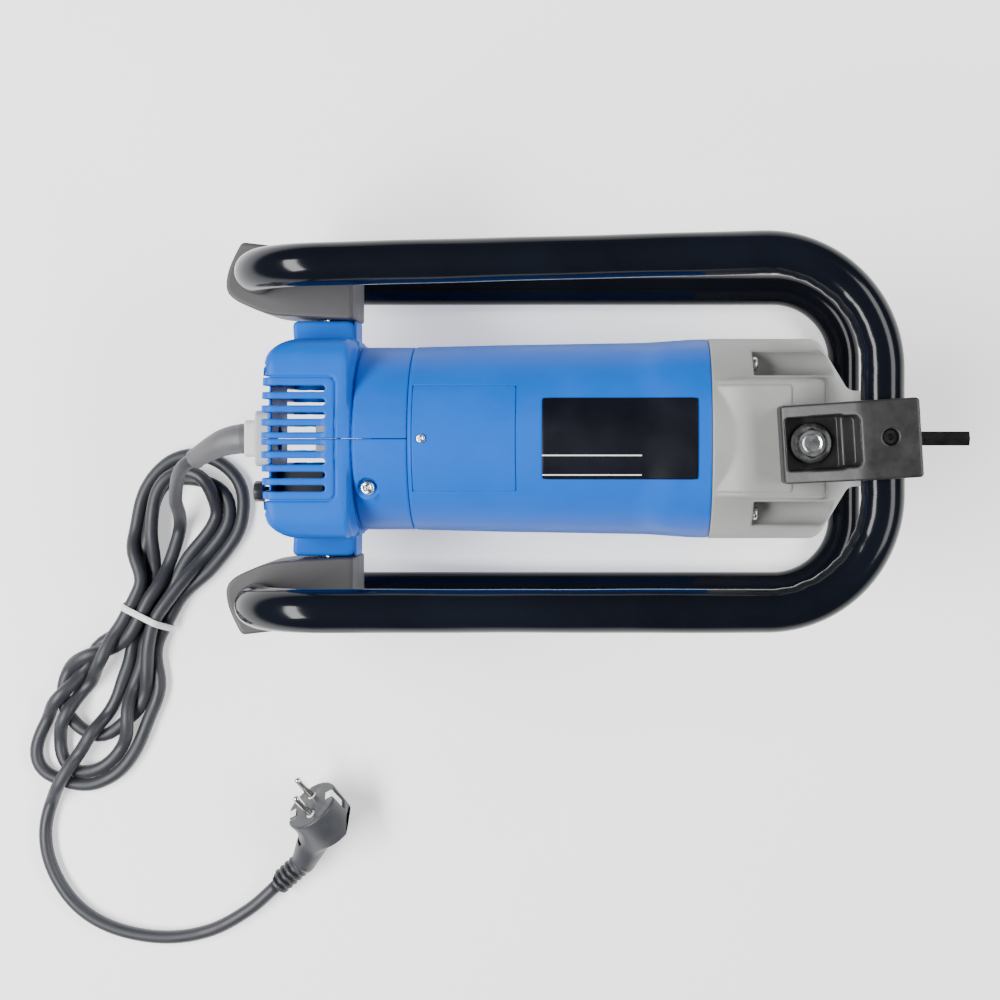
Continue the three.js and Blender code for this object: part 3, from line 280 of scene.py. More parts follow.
def skin(field, low, high, step):
    """The surface where a distance field is nought, as points and quads. Each cell of a regular grid that
    the surface crosses gets the mean of its edge crossings, then moves along the field's own slope
    onto the surface; the four cells round each crossed grid edge make one quad."""
    axes = [np.arange(a, b + step, step) for a, b in zip(low, high)]
    x, y, z = axes[0][:, None, None], axes[1][None, :, None], axes[2][None, None]
    value = np.broadcast_to(field(x, y, z), [len(a) for a in axes]).astype(np.float32)
    inside = value < 0
    corners = [(i, j, k) for i in (0, 1) for j in (0, 1) for k in (0, 1)]
    count = [len(a) - 1 for a in axes]
    cut = [slice(c, c + n) for c in (0, 1) for n in count]
    total = sum(inside[cut[3 * i], cut[3 * j + 1], cut[3 * k + 2]].astype(np.int8) for i, j, k in corners)
    cells = np.argwhere((total > 0) & (total < 8))
    at = {c: value[tuple((cells + c).T)] for c in corners}
    place_sum, crossings = np.zeros((len(cells), 3)), np.zeros(len(cells))
    for c in corners:
        for axis in range(3):
            if c[axis] == 0:
                other = tuple(v + (n == axis) for n, v in enumerate(c))
                crossed = (at[c] < 0) != (at[other] < 0)
                share = np.where(crossed, at[c] / np.where(crossed, at[c] - at[other], 1), 0)
                spot = np.repeat(np.array([c], float), len(cells), 0)
                spot[:, axis] += share
                place_sum += spot * crossed[:, None]
                crossings += crossed
    points = np.array(low) + (cells + place_sum / crossings[:, None]) * step
    h = 0.05 * step
    for _ in range(2):
        here = field(*points.T)
        slope = [(field(*(points + h * e).T) - field(*(points - h * e).T)) / (2 * h) for e in np.eye(3)]
        slope = np.stack(slope, 1)
        move = (here / np.maximum((slope**2).sum(1), 0.2))[:, None] * slope
        points -= move.clip(-0.3 * step, 0.3 * step)
    number = np.full(count, -1)
    number[tuple(cells.T)] = np.arange(len(cells))
    quads = []
    for axis, (b, c) in enumerate(((1, 2), (2, 0), (0, 1))):
        within = np.moveaxis(inside, (axis, b, c), (0, 1, 2))
        first, second = within[:-1], within[1:]
        grid = np.moveaxis(number, (axis, b, c), (0, 1, 2))
        i, j, k = np.nonzero(first != second)
        held = (j > 0) & (k > 0) & (j < grid.shape[1]) & (k < grid.shape[2])
        i, j, k = i[held], j[held], k[held]
        ring = np.stack([grid[i, j - 1, k - 1], grid[i, j, k - 1], grid[i, j, k], grid[i, j - 1, k]], 1)
        quads.append(np.where(first[i, j, k][:, None], ring, ring[:, ::-1]))
    return points, np.vstack(quads).tolist()


def rear_outside(x, y, z0):
    """The box is where three rounded rectangles, seen from behind, above and the side, all hold; its rear
    is crowned by 4 mm; the neck joins it with a fillet, and a lug with two slots stands before each tab."""
    ay, az = np.abs(y), np.abs(z0)
    crowned = x - 4 * (y / BOX_HALF_WIDTH) ** 2
    middle, half = (BOX_REAR - 100) / 2, (-100 - BOX_REAR) / 2
    from_behind = rounded(y, z0, BOX_HALF_WIDTH, BOX_HALF_HEIGHT, 24)
    from_above = rounded(crowned - middle, y, half, BOX_HALF_WIDTH, 22)
    from_the_side = rounded(crowned - middle, z0, half, BOX_HALF_HEIGHT, 10)
    box = smax(smax(from_behind, from_above, 5), from_the_side, 4)
    box = smax(box, x - BOX_FRONT, 5)
    neck = smax(np.hypot(y, z0) - NECK_RADIUS, np.abs(x + 150) - 150 - NECK_FRONT, 1)
    tab = rounded(x + 183.5 + 0.06 * (ay - 66), ay, 20, 77.6, 4)
    tab = smax(tab, az - 18, 3)
    lug = smax(rounded(x + 164.5, ay - 60, 6, 17.6, 2), az - 15, 3)
    comb = np.minimum(np.abs(x + 165), np.abs(x + 161.2)) - 1
    lug = smax(lug, -np.maximum(comb, 64 - ay), 0.6)
    return smin(smin(box, neck, 3), smin(tab, lug, 0.5), 2)


def rear_shell(side):
    """The field of one half: the outside less the inside, the slots, the panel groove and the holes."""
    def field(x, y, z):
        z0 = z - AXIS_Z
        ay, az = np.abs(y), np.abs(z0)
        outside = rear_outside(x, y, z0)
        room = smax(rounded(y, z0, 62.5, 58, 20), rounded(x + 165, y, 50.5, 62.5, 18), 4)
        room = smax(room, x - BOX_FRONT + CASE_WALL, 2)
        room = np.minimum(room, np.maximum(np.hypot(y, z0) - NECK_RADIUS + CASE_WALL, -x - 170))
        shell = smax(outside, -room, 0.6)
        slot = np.min([rounded(x + 192, ay - offset, 16, 2, 1.9) for offset in SLOTS], 0)
        shell = smax(shell, -np.maximum(slot, 30 - az), 0.7)
        comb = np.min([np.abs(ay - offset) - 2 for offset in SLOTS], 0)
        comb = np.maximum(np.maximum(comb, x + 203), np.maximum(30 - az, -2.2 - outside))
        panel = np.abs(rounded(x + 240, y, 70, 39.5, 4.5)) - 0.55
        panel = np.maximum(np.maximum(panel, 30 - az), -1.3 - outside)
        joint = np.maximum(np.abs(x + 159.3) - 0.9, 59.3 - np.hypot(y, z0))
        shell = smax(smax(shell, -comb, 0.7), -np.minimum(panel, joint), 0.5)
        from_screw = np.hypot(x - NECK_SCREW[0], y - NECK_SCREW[1])
        recess = np.maximum(from_screw - 6.4, 49.5 - z0)
        drilled = np.maximum(from_screw - 2.5, -z0)
        wires = np.maximum(np.minimum(np.hypot(y, z0) - 8, np.hypot(y - KNOB_Y, z0) - 5.3), x + 210)
        bolts = np.maximum(np.hypot(x - BRACKET_BOLT_X, z0) - 4.3, 40 - ay)
        shell = smax(shell, -np.minimum(np.minimum(recess, drilled), np.minimum(wires, bolts)), 0.6)
        boss = np.maximum(from_screw - 8, np.abs(z0 - 47) - 3)
        shell = smin(shell, smax(boss, -drilled, 0.3), 0.5)
        return smax(shell, SEAM - side * y, 0.2)
    return field


blue_plastic = finish("blue_plastic", BLUE, 0.4, mottle=0.05, patch=28, grain=1500, bump=0.22, depth=0.04,
                      gloss_level=0.1)
for side, name, low, high in ((1, "left", (-222, -1.5, 34), (-121.5, 80, 163)),
                              (-1, "right", (-222, -80, 34), (-121.5, 1.5, 163))):
    place(mesh(f"rear_shell_{name}", *skin(rear_shell(side), low, high, 1.0)), "machine", "blue_plastic",
          blue_plastic, f"rear_housing_{name}")

# ---- motor housing, brush covers and label ----
# One blue moulded tube round the stator. It widens to the front, where its corners swell over the four
# screws; a cover lies flush in a recess above each brush, held by one screw, and a label is glued on.
MOTOR_STATIONS = (-123.85, -67, 28, 60, 69.85)
MOTOR_RADII = (61, 62.4, 64, 66, 66.2)
MOTOR_REAR, MOTOR_FRONT = MOTOR_STATIONS[0], MOTOR_STATIONS[-1]
MOTOR_WALL = 3.9
COVER = (-121, -55, 34)  # rear, front and half-width
RECESS_GAP, RECESS_DEPTH = 0.3, 2.3  # round and under a cover
SQUARE = 2.35  # power of the squarer front section, where 2 is a circle
RULE_HEIGHTS, RULE_END = (-10.7, -23.2), 25.3  # y of the label's two pale rules, and the x where they end


def motor_radius(x, angle):
    """Radius from the stations, times (cos^n + sin^n)^(-1/n); n grows from 2 to SQUARE along a front that
    starts further back at the corners than at the sides."""
    start = 18 + 15 * np.cos(2 * angle) ** 2
    share = np.clip((x - start) / 24, 0, 1)
    n = 2 + (SQUARE - 2) * share**2 * (3 - 2 * share)
    unit = (np.abs(np.cos(angle)) ** n + np.abs(np.sin(angle)) ** n) ** (-1 / n)
    return np.interp(x, MOTOR_STATIONS, MOTOR_RADII) * unit


def round_the_axis(x, angle, radius):
    """Points at a radius round the motor axis; angle nought is the left side."""
    x, angle, radius = np.broadcast_arrays(x, angle, radius)
    return np.stack([x, radius * np.cos(angle), AXIS_Z + radius * np.sin(angle)], -1)


def steps(low, high, step, *edges):
    """Even places from low to high, with close ones each side of every edge."""
    extra = [e + d for e in edges for d in (-0.35, -0.05, 0.05, 0.35)]
    return np.unique(np.round(np.concatenate([np.arange(low, high, step), [high], extra]), 3))


def outward(piece):
    """Turns every face of a closed mesh outwards."""
    work = bmesh.new()
    work.from_mesh(piece.data)
    bmesh.ops.recalc_face_normals(work, faces=work.faces)
    work.to_mesh(piece.data)
    work.free()


def turned(name, rings):
    """Closed surface through rings of points, each the same length; the last ring joins the first."""
    rings = np.array(rings)
    n, m = rings.shape[:2]
    piece = mesh(name, rings.reshape(-1, 3), (np.array(grid_faces(n + 1, m)) % (n * m)).tolist())
    outward(piece)
    return piece


def capped(name, rings, smooth=True):
    """Closed surface through rings of points, with a flat face over the first ring and the last."""
    rings = np.array(rings)
    piece = mesh(name, rings.reshape(-1, 3), capped_faces(*rings.shape[:2]), smooth=smooth)
    outward(piece)
    return piece


cover_edge = np.arccos((COVER[2] + RECESS_GAP) / 61.5)
cover_edges = [cover_edge, np.pi - cover_edge, np.pi + cover_edge, 2 * np.pi - cover_edge]
angles = np.unique(np.concatenate([np.arange(0, 2 * np.pi - 0.005, np.pi / 150),
                                   np.add.outer(cover_edges, [-0.0054, -0.0018, 0.0018, 0.0054]).ravel()]))
recess_rear, recess_front = COVER[0] - RECESS_GAP, COVER[1] + RECESS_GAP
rings = []
for x in steps(MOTOR_REAR, MOTOR_FRONT, 1.6, recess_rear, recess_front, 68.4):
    r = motor_radius(x, angles)
    recess = (np.abs(r * np.cos(angles)) < COVER[2] + RECESS_GAP) & (recess_rear < x < recess_front)
    lip = 0.5 * np.exp(-((x - MOTOR_REAR) / 0.8) ** 2) + 0.7 * np.exp(-((x - MOTOR_FRONT) / 0.7) ** 2)
    rings.append(round_the_axis(x, angles, r - lip - RECESS_DEPTH * recess))
for x in np.linspace(MOTOR_FRONT, MOTOR_REAR, 14):
    rings.append(round_the_axis(x, angles, np.interp(x, MOTOR_STATIONS, MOTOR_RADII) - MOTOR_WALL))
place(turned("motor_shell", rings), "machine", "blue_plastic", blue_plastic, "motor_housing")


def on_the_motor(name, x0, x1, half, corner, low, high, outward_side, edge=0.35):
    """A thin plate that follows the motor's surface. Its outline in x and y is a rounded rectangle: each
    ring of the grid is that outline scaled from the middle out, and the last rings round the edge off
    and close the back. low and high are the heights of its back and face above the motor's surface."""
    t = np.linspace(0, 2 * np.pi, 160, endpoint=False)
    square = np.maximum(np.abs(np.cos(t)), np.abs(np.sin(t)))
    cx, cy = np.cos(t) / square, np.sin(t) / square
    hx, middle = (x1 - x0) / 2, (x0 + x1) / 2

    def outline(grow, drop):
        px, py = cx * (hx - drop), cy * (half - drop)
        over_x = np.maximum(np.abs(px) - (hx - corner), 0)
        over_y = np.maximum(np.abs(py) - (half - corner), 0)
        pull = np.where(np.hypot(over_x, over_y) > corner - drop,
                        (corner - drop) / np.maximum(np.hypot(over_x, over_y), 1e-6), 1)
        px = np.sign(px) * (np.minimum(np.abs(px), hx - corner) + over_x * pull)
        py = np.sign(py) * (np.minimum(np.abs(py), half - corner) + over_y * pull)
        return px * grow, py * grow

    rows = [(g, 0, high) for g in np.linspace(0.02, 0.97, 34)]
    rows += [(1, edge, high), (1, 0.3 * edge, high - 0.3 * edge), (1, 0, high - edge), (1, 0, low)]
    rows += [(g, 0, low) for g in np.linspace(0.9, 0.02, 6)]
    plate = []
    for grow, drop, height in rows:
        px, py = outline(grow, drop)
        angle = np.arccos(np.clip(py / 63, -1, 1))
        for _ in range(2):
            angle = np.arccos(np.clip(py / (motor_radius(middle + px, angle) + height), -1, 1))
        r = motor_radius(middle + px, angle) + height
        plate.append(np.stack([middle + px, r * np.cos(angle), AXIS_Z + outward_side * r * np.sin(angle)], -1))
    return capped(name, plate)


def pan_screw(name, head, direction, radius, height, shank, length):
    """A pan-head screw: its profile is turned round direction from head, the middle of the head's seat.
    Rings run from the bottom of the cross recess over the domed head, under it and down the shank."""
    d = np.array(direction, float) / np.linalg.norm(direction)
    u = np.cross(d, [0.3, 0.5, 0.8])
    u /= np.linalg.norm(u)
    v = np.cross(d, u)
    a = np.linspace(0, 2 * np.pi, 64, endpoint=False)
    cross = 1 - 0.62 * np.abs(np.sin(2 * a)) ** 0.35
    round_ring = np.ones_like(a)
    profile = [(0.9 * radius * share * cross, height * level)
               for share, level in ((0.02, 0.35), (0.55, 0.45), (0.95, 0.97))]
    for tilt in np.linspace(0.55, 1, 8) * np.pi / 2:
        level = height * (0.35 + 0.65 * np.cos(tilt) ** 0.7)
        profile.append((radius * np.sin(tilt) ** 0.6 * round_ring, level))
    profile += [(radius * round_ring, 0), (shank * round_ring, 0), (shank * round_ring, -length),
                (0.05 * shank * round_ring, -length - shank)]
    spokes = np.cos(a)[:, None] * u + np.sin(a)[:, None] * v
    return capped(name, [np.array(head) + level * d + r[:, None] * spokes for r, level in profile])


zinc = finish("zinc_steel", (0.62, 0.63, 0.64), 0.28, metal=1.0, mottle=0.18, patch=220, grain=1800, bump=0.25,
              depth=0.05)
label_black = finish("label_black", (0.0015, 0.0022, 0.006), 0.42, mottle=0.3, patch=30, grain=900, bump=0.05,
                     gloss_level=0.2)

# Two pale rules across the label's rear two thirds, and no lettering: the ink shows where y is within
# 0.4 mm of a rule and x is behind its end.
tree = label_black.node_tree
spot = tree.nodes.new("ShaderNodeSeparateXYZ")
tree.links.new(tree.nodes["Texture Coordinate"].outputs["Object"], spot.inputs["Vector"])
printed = tree.nodes.new("ShaderNodeMath")
printed.operation = "MAXIMUM"
for socket, rule_y in enumerate(RULE_HEIGHTS):
    rule = tree.nodes.new("ShaderNodeMath")
    rule.operation = "COMPARE"
    rule.inputs[1].default_value, rule.inputs[2].default_value = rule_y / 1000, 0.0004
    tree.links.new(spot.outputs["Y"], rule.inputs[0])
    tree.links.new(rule.outputs["Value"], printed.inputs[socket])
behind = tree.nodes.new("ShaderNodeMath")
behind.operation = "LESS_THAN"
behind.inputs[1].default_value = RULE_END / 1000
tree.links.new(spot.outputs["X"], behind.inputs[0])
both = tree.nodes.new("ShaderNodeMath")
both.operation = "MULTIPLY"
tree.links.new(printed.outputs["Value"], both.inputs[0])
tree.links.new(behind.outputs["Value"], both.inputs[1])
ink = tree.nodes.new("ShaderNodeMix")
ink.data_type = "RGBA"
ink.inputs["B"].default_value = (0.7, 0.7, 0.68, 1)
shader = tree.nodes["Principled BSDF"]
tree.links.new(shader.inputs["Base Color"].links[0].from_socket, ink.inputs["A"])
tree.links.new(both.outputs["Value"], ink.inputs["Factor"])
tree.links.new(ink.outputs["Result"], shader.inputs["Base Color"])

for name, side in (("top", 1), ("bottom", -1)):
    place(on_the_motor(f"cover_{name}", *COVER, 1.5, -2, 0, side), "machine", "blue_plastic", blue_plastic,
          f"brush_cover_{name}")
    place(pan_screw(f"cover_screw_{name}", (-115, 0, AXIS_Z + side * 61.1), (0, 0, side), 2.9, 1.9, 1.5, 9),
          "machine", "zinc_steel", zinc, f"brush_cover_screw_{name}")
place(on_the_motor("label", -38, 61, 26, 1.2, 0.05, 0.75, 1, edge=0.2), "machine", "label_black", label_black,
      "label_plate")
place(pan_screw("neck_pan_screw", (*NECK_SCREW, AXIS_Z + 49.8), (0, 0, 1), 4.6, 3.4, 2.2, 16), "machine",
      "zinc_steel", zinc, "neck_screw")

# ---- nose casting ----
# Sand-cast aluminium, painted grey: it carries the front bearing, closes the motor housing, has a raised
# seat top and bottom for the clamps, and narrows to the spigot that the flexible shaft pushes over.
# Four long pan-head screws in open channels hold it on.
NOSE_RADIUS, NOSE_REAR, NOSE_SHOULDER, NOSE_FRONT = 66.5, 70.15, 142, 177
SPIGOT_RADIUS, SPIGOT_FRONT, SPIGOT_BORE = 21, 207, 12.5
CHANNEL = (48, 42)  # sideways and up from the motor axis
CHANNEL_RADIUS, CHANNEL_REAR = 8.3, 97
CLAMP_BOLT = (131, -3)


def nose_field(x, y, z):
    """A squarish drum, a cone, a neck and the spigot, with the seats added on and the cavity, bearing seat,
    bore, screw channels and bolt holes taken out."""
    z0 = z - AXIS_Z
    ay, az = np.abs(y), np.abs(z0)
    rho = (ay**SQUARE + az**SQUARE) ** (1 / SQUARE)
    radius = np.hypot(y, z0)
    cone = 0.843 * (x - NOSE_SHOULDER) + 0.538 * (rho - NOSE_RADIUS)
    body = smax(rho - NOSE_RADIUS, cone, 5)
    ramp = 0.012 * np.maximum(98 - x, 0) ** 2
    low_seat = smax(smax(rounded(x - 104, ay, 38, 37, 4), az - 67.2 + ramp, 1.6), cone - 9, 1)
    seat = smax(rounded(x - 92, ay, 28, 34, 2), az - 68.5 + ramp, 1)
    body = smin(smin(body, low_seat, 1.5), seat, 0.8)
    body = smin(body, smax(radius - 32, x - NOSE_FRONT, 2.5), 5)
    body = smin(body, smax(radius - SPIGOT_RADIUS, x - SPIGOT_FRONT, 1.5), 3)
    body = smax(body, NOSE_REAR - x, 0.8)
    from_screw = np.hypot(ay - CHANNEL[0], az - CHANNEL[1])
    channel = from_screw - CHANNEL_RADIUS
    channel = smin(channel, np.maximum(np.abs(ay - CHANNEL[0] - 0.6) - CHANNEL_RADIUS, CHANNEL[1] - az), 1)
    body = smax(body, -smax(channel, CHANNEL_REAR - x, 1), 1.6)
    cavity = smax(radius - 59, x - 124, 6)
    cavity = smax(cavity, 11 - from_screw, 2)
    bearing = np.maximum(radius - 20.3, np.abs(x - 147.3) - 6.4)
    bore = np.maximum(radius - SPIGOT_BORE, 100 - x)
    body = smax(body, -np.minimum(np.minimum(cavity, bearing), bore), 0.6)
    bolts = np.maximum(np.hypot(x - CLAMP_BOLT[0], y - CLAMP_BOLT[1]) - 5.3, 44 - az)
    shanks = np.maximum(from_screw - 2.6, x - 100)
    return smax(body, -np.minimum(bolts, shanks), 0.5)


cast_grey = finish("cast_grey", (0.27, 0.27, 0.262), 0.5, metal=0.1, mottle=0.06, patch=30, grain=950, bump=0.4,
                   depth=0.08)
place(mesh("nose_cast", *skin(nose_field, (69.6, -70, 28), (208, 70, 169), 1.15)), "machine", "cast_grey",
      cast_grey, "nose_casting")
for number, (aside, up) in enumerate(((1, 1), (-1, 1), (-1, -1), (1, -1)), 1):
    head = (CHANNEL_REAR + 0.3, aside * CHANNEL[0], AXIS_Z + up * CHANNEL[1])
    place(pan_screw(f"nose_pan_screw_{number}", head, (1, 0, 0), 4.6, 3.4, 2.2, 46), "machine", "zinc_steel",
          zinc, f"nose_screw_{number}")

# ---- front clamps ----
# Two die-cast arms with a worn black finish, each bolted to a seat of the nose and gripping the cross
# bar of its hoop in a bored block. The upper one sits a few degrees askew and has a set screw.
SEAT = 68.8  # underside of a clamp from the motor axis
POCKET_FLOOR = 5  # thickness under the bolt's washer
CLAMP_REAR, BLOCK_REAR = 111.5, 161
HOOP_FRONT, RAIL = 174, 87.5  # centre of the cross bars, and the rails' distance from the motor axis
SET_SCREW = (176, 1)
WASHER_RADIUS, WASHER_THICKNESS = 12.8, 2


def clamp_field(side, block_top, arm_top, skew):
    """Planes for the ramp, the block's top, the sides and the ends, with rounded edges; the stepped pocket,
    the bar's bore and the bolt's hole are taken out."""
    turn = np.radians(skew)
    slope = np.arctan2(block_top - arm_top, BLOCK_REAR - CLAMP_REAR)

    def field(x, y, z):
        z0 = side * (z - AXIS_Z)
        px, py = x - CLAMP_BOLT[0], y - CLAMP_BOLT[1]
        u = CLAMP_BOLT[0] + px * np.cos(turn) + py * np.sin(turn)
        v = py * np.cos(turn) - px * np.sin(turn)
        ramp = (z0 - arm_top) * np.cos(slope) - (u - CLAMP_REAR) * np.sin(slope)
        body = smax(ramp, z0 - block_top, 2.5)
        body = smax(smax(body, rounded(u - 153.25, v, 41.75, 24.5, 2.5), 1.8), SEAT - z0, 0.8)
        deep = smax(rounded(u - 131.5, v, 17, 16.3, 2.2), SEAT + POCKET_FLOOR - z0, 1.2)
        shallow = smax(rounded(u - 143, v, 15, 15.6, 3.5), SEAT + 14 - z0, 1.5)
        body = smax(body, -smin(deep, shallow, 2.5), 1.5)
        bar = np.hypot(x - HOOP_FRONT, z0 - RAIL) - (14.1 if side > 0 else 11.7)
        body = smax(body, -bar, 1.2)
        if side > 0:
            screw = np.maximum(np.hypot(x - SET_SCREW[0], y - SET_SCREW[1]) - 5, RAIL - z0)
            body = smax(body, -screw, 0.7)
        return smax(body, 5.3 - np.hypot(px, py), 0.4)
    return field


def hex_screw(name, seat_z, side, flats, height, shank, length, x, y):
    """A hex bolt: the hexagon's corners are turned off to a circle at its face, and the head is slightly
    dished; rings run from the middle of the face down to the end of the shank."""
    a = np.linspace(0, 2 * np.pi, 72, endpoint=False)
    hexagon = flats / 2 / np.cos((a + np.pi / 6) % (np.pi / 3) - np.pi / 6)
    rows = [(0.02 * flats, height - 0.5), (0.3 * flats, height - 0.5), (0.36 * flats, height)]
    rows += [(np.minimum(hexagon, flats / 2 * (0.96 + 0.03 * i)), height - 0.35 * i) for i in range(6)]
    rows += [(hexagon, 0.3), (hexagon - 0.3, 0), (shank, 0), (shank, -length), (0.1, -length - 1)]
    return capped(name, [np.stack([x + r * np.cos(a), y + side * r * np.sin(a), seat_z + side * h + 0 * a], -1)
                         for r, h in rows], smooth=False)


def washer(name, x, y, low, inner, outer, thickness, edge=0.4):
    """A flat ring with rounded edges, turned round z."""
    a = np.linspace(0, 2 * np.pi, 64, endpoint=False)
    rows = [(inner, low), (outer - edge, low), (outer, low + edge), (outer, low + thickness - edge),
            (outer - edge, low + thickness), (inner + edge, low + thickness), (inner, low + thickness - edge)]
    return turned(name, [np.stack([x + r * np.cos(a), y + r * np.sin(a), h + 0 * a], -1) for r, h in rows])


clamp_black = finish("clamp_black", (0.018, 0.017, 0.018), 0.45, metal=0.1, mottle=0.3, patch=90, grain=520,
                     bump=0.5, depth=0.14)
black_oxide = finish("black_oxide", (0.02, 0.02, 0.022), 0.4, metal=0.6, mottle=0.3, patch=120, grain=900)
place(mesh("clamp_top", *skin(clamp_field(1, 107.5, 88, 3.5), (105, -31, 166), (199, 31, 208), 0.8)), "machine",
      "clamp_black", clamp_black, "front_clamp_top")
place(mesh("clamp_bottom", *skin(clamp_field(-1, 94.5, 88, 0), (105, -29, 2), (197, 25, 31), 0.8)), "machine",
      "clamp_black", clamp_black, "front_clamp_bottom")
for name, side in (("top", 1), ("bottom", -1)):
    seat = AXIS_Z + side * (SEAT + POCKET_FLOOR + 0.3)
    low = min(seat, seat + WASHER_THICKNESS * side)
    place(washer(f"washer_{name}", *CLAMP_BOLT, low, 5.3, WASHER_RADIUS, WASHER_THICKNESS), "machine",
          "zinc_steel", zinc, f"clamp_washer_{name}")
    under_head = seat + (WASHER_THICKNESS + 0.3) * side
    place(hex_screw(f"hex_bolt_{name}", under_head, side, 17, 6.4, 5, 25, *CLAMP_BOLT), "machine", "zinc_steel",
          zinc, f"clamp_bolt_{name}")
dress(black_oxide, "clamp_set_screw_top")

# ---- carrying hoops ----
# Two steel tubes bent to a U and turned down, or up, at the rear to the side brackets. The lower one
# is painted glossy black; the upper one wears a thick glossy plastic grip sleeve, pushed on and
# puckered on the inside of its bends.
HOOP_HALF_WIDTH, HOOP_REAR, RISER_BEND = 107, -223, 48
LOWER_CORNER, UPPER_CORNER = 51, 72  # plan radii
HOOP_TUBE, SLEEVE_BORE, SLEEVE_OUTSIDE = 11.2, 11.5, 13.55  # radii
SPLAY = np.radians(1.5)  # of the upper hoop's left rail


def hoop_line(outward_side, corner, riser_start, splay, step=4.0):
    """Straight runs and circular bends: up the left riser, along the rail, which leans out by the angle
    splay, round the plan corner, across, and back down on the right, where the rail runs straight."""
    rail_z = AXIS_Z + outward_side * RAIL
    rise = np.linspace(riser_start, RAIL - RISER_BEND, 10)[:-1]

    def half(lean):
        ahead, aside = np.cos(lean), np.sin(lean)
        riser = np.stack([HOOP_REAR + 0 * rise, HOOP_HALF_WIDTH + 0 * rise, AXIS_Z + outward_side * rise], 1)
        turn = np.linspace(0, np.pi / 2, 25)
        run = RISER_BEND * (1 - np.cos(turn))
        bend = np.stack([HOOP_REAR + run * ahead, HOOP_HALF_WIDTH + run * aside,
                         rail_z - outward_side * RISER_BEND * (1 - np.sin(turn))], 1)
        far = (HOOP_FRONT - corner - HOOP_REAR - corner * aside) / ahead
        run = np.arange(RISER_BEND + step, far - step / 2, step)
        rail = np.stack([HOOP_REAR + run * ahead, HOOP_HALF_WIDTH + run * aside, rail_z + 0 * run], 1)
        turn = np.linspace(np.pi / 2 + lean, 0, 33)
        corner_y = HOOP_HALF_WIDTH + far * aside - corner * ahead
        plan = np.stack([HOOP_FRONT - corner + corner * np.cos(turn), corner_y + corner * np.sin(turn),
                         rail_z + 0 * turn], 1)
        return np.vstack([riser, bend, rail, plan])

    left, right = half(splay), half(0) * [1, -1, 1]
    cross_y = np.arange(left[-1, 1] - step, right[-1, 1] + step / 2, -step)
    cross = np.stack([HOOP_FRONT + 0 * cross_y, cross_y, rail_z + 0 * cross_y], 1)
    return np.vstack([left, cross, right[::-1]])


gloss_paint = finish("gloss_paint", (0.003, 0.0038, 0.0065), 0.14, mottle=0.3, patch=12, grain=220, bump=0.05,
                     depth=0.25, gloss_level=0.2)
grip_vinyl = finish("grip_vinyl", (0.004, 0.0052, 0.009), 0.15, mottle=0.3, patch=9, grain=130, bump=0.06,
                    depth=0.6, gloss_level=0.2)
place(tube("hoop_lower", hoop_line(-1, LOWER_CORNER, 0.3, 0), HOOP_TUBE, 40), "machine", "tube_black",
      gloss_paint, "lower_hoop")
place(tube("hoop_upper", hoop_line(1, UPPER_CORNER, 0.3, SPLAY), HOOP_TUBE, 40), "machine", "tube_black",
      gloss_paint, "upper_hoop")

# The sleeve's radius is its outside, with a slow unevenness everywhere and short folds where it faces
# the inside of a bend; the last millimetre or so at either end is drawn in.
sleeve_line = hoop_line(1, UPPER_CORNER, 32, SPLAY, 1.6)
first, second = frames(sleeve_line)
a = np.linspace(0, 2 * np.pi, 72, endpoint=False)
around = np.cos(a)[:, None] * first[:, None] + np.sin(a)[:, None] * second[:, None]
heading = np.gradient(sleeve_line, axis=0)
heading /= np.linalg.norm(heading, axis=1)[:, None]
curve = np.gradient(heading, axis=0) / np.linalg.norm(np.gradient(sleeve_line, axis=0), axis=1)[:, None]
curve = np.stack([np.convolve(c, np.ones(9) / 9, "same") for c in curve.T], 1)
inner_side = np.clip(np.einsum("ik,ijk->ij", curve, around) * 55, 0, 1.2)
run = np.concatenate([[0], np.cumsum(np.linalg.norm(np.diff(sleeve_line, axis=0), axis=1))])[:, None]
folds_in = np.sin(run / 2.1 + 1.3 * np.sin(run / 17 + 2 * a)) + 0.6 * np.sin(run / 3.7 + 0.8 * np.sin(3 * a))
slow = 0.10 * np.sin(run / 31 + 2 * a) + 0.06 * np.sin(run / 13 - 3 * a)
sleeve_radius = SLEEVE_OUTSIDE + slow + 0.42 * folds_in * inner_side**1.4 - 0.35 * inner_side
end = np.minimum(run, run[-1] - run)
sleeve_radius = sleeve_radius - 1.2 * np.exp(-end / 1.1)
outer = sleeve_line[:, None] + sleeve_radius[..., None] * around
inner = (sleeve_line[:, None] + SLEEVE_BORE * around)[::-1]
inner = np.concatenate([inner[:1], inner[::6][1:-1], inner[-1:]])
place(turned("grip_sleeve", np.concatenate([outer, inner])), "machine", "grip_black", grip_vinyl,
      "upper_hoop_sleeve")

# ---- side brackets ----
# A grey moulded block each side, bored for the ends of both hoops and bolted through to the housing's tab.
# Its plan is a many-sided outline with rounded corners.
BRACKET = [(-162.7, 78), (-162.7, 112), (-175, 121), (-203.4, 124.8), (-211, 126.9), (-234.9, 129),
           (-239.2, 122.6), (-245.5, 106.3), (-245.5, 96.5), (-241.4, 91), (-236, 87.8), (-216.4, 80.4),
           (-201.2, 79.1)]
BRACKET_HALF_HEIGHT = 29


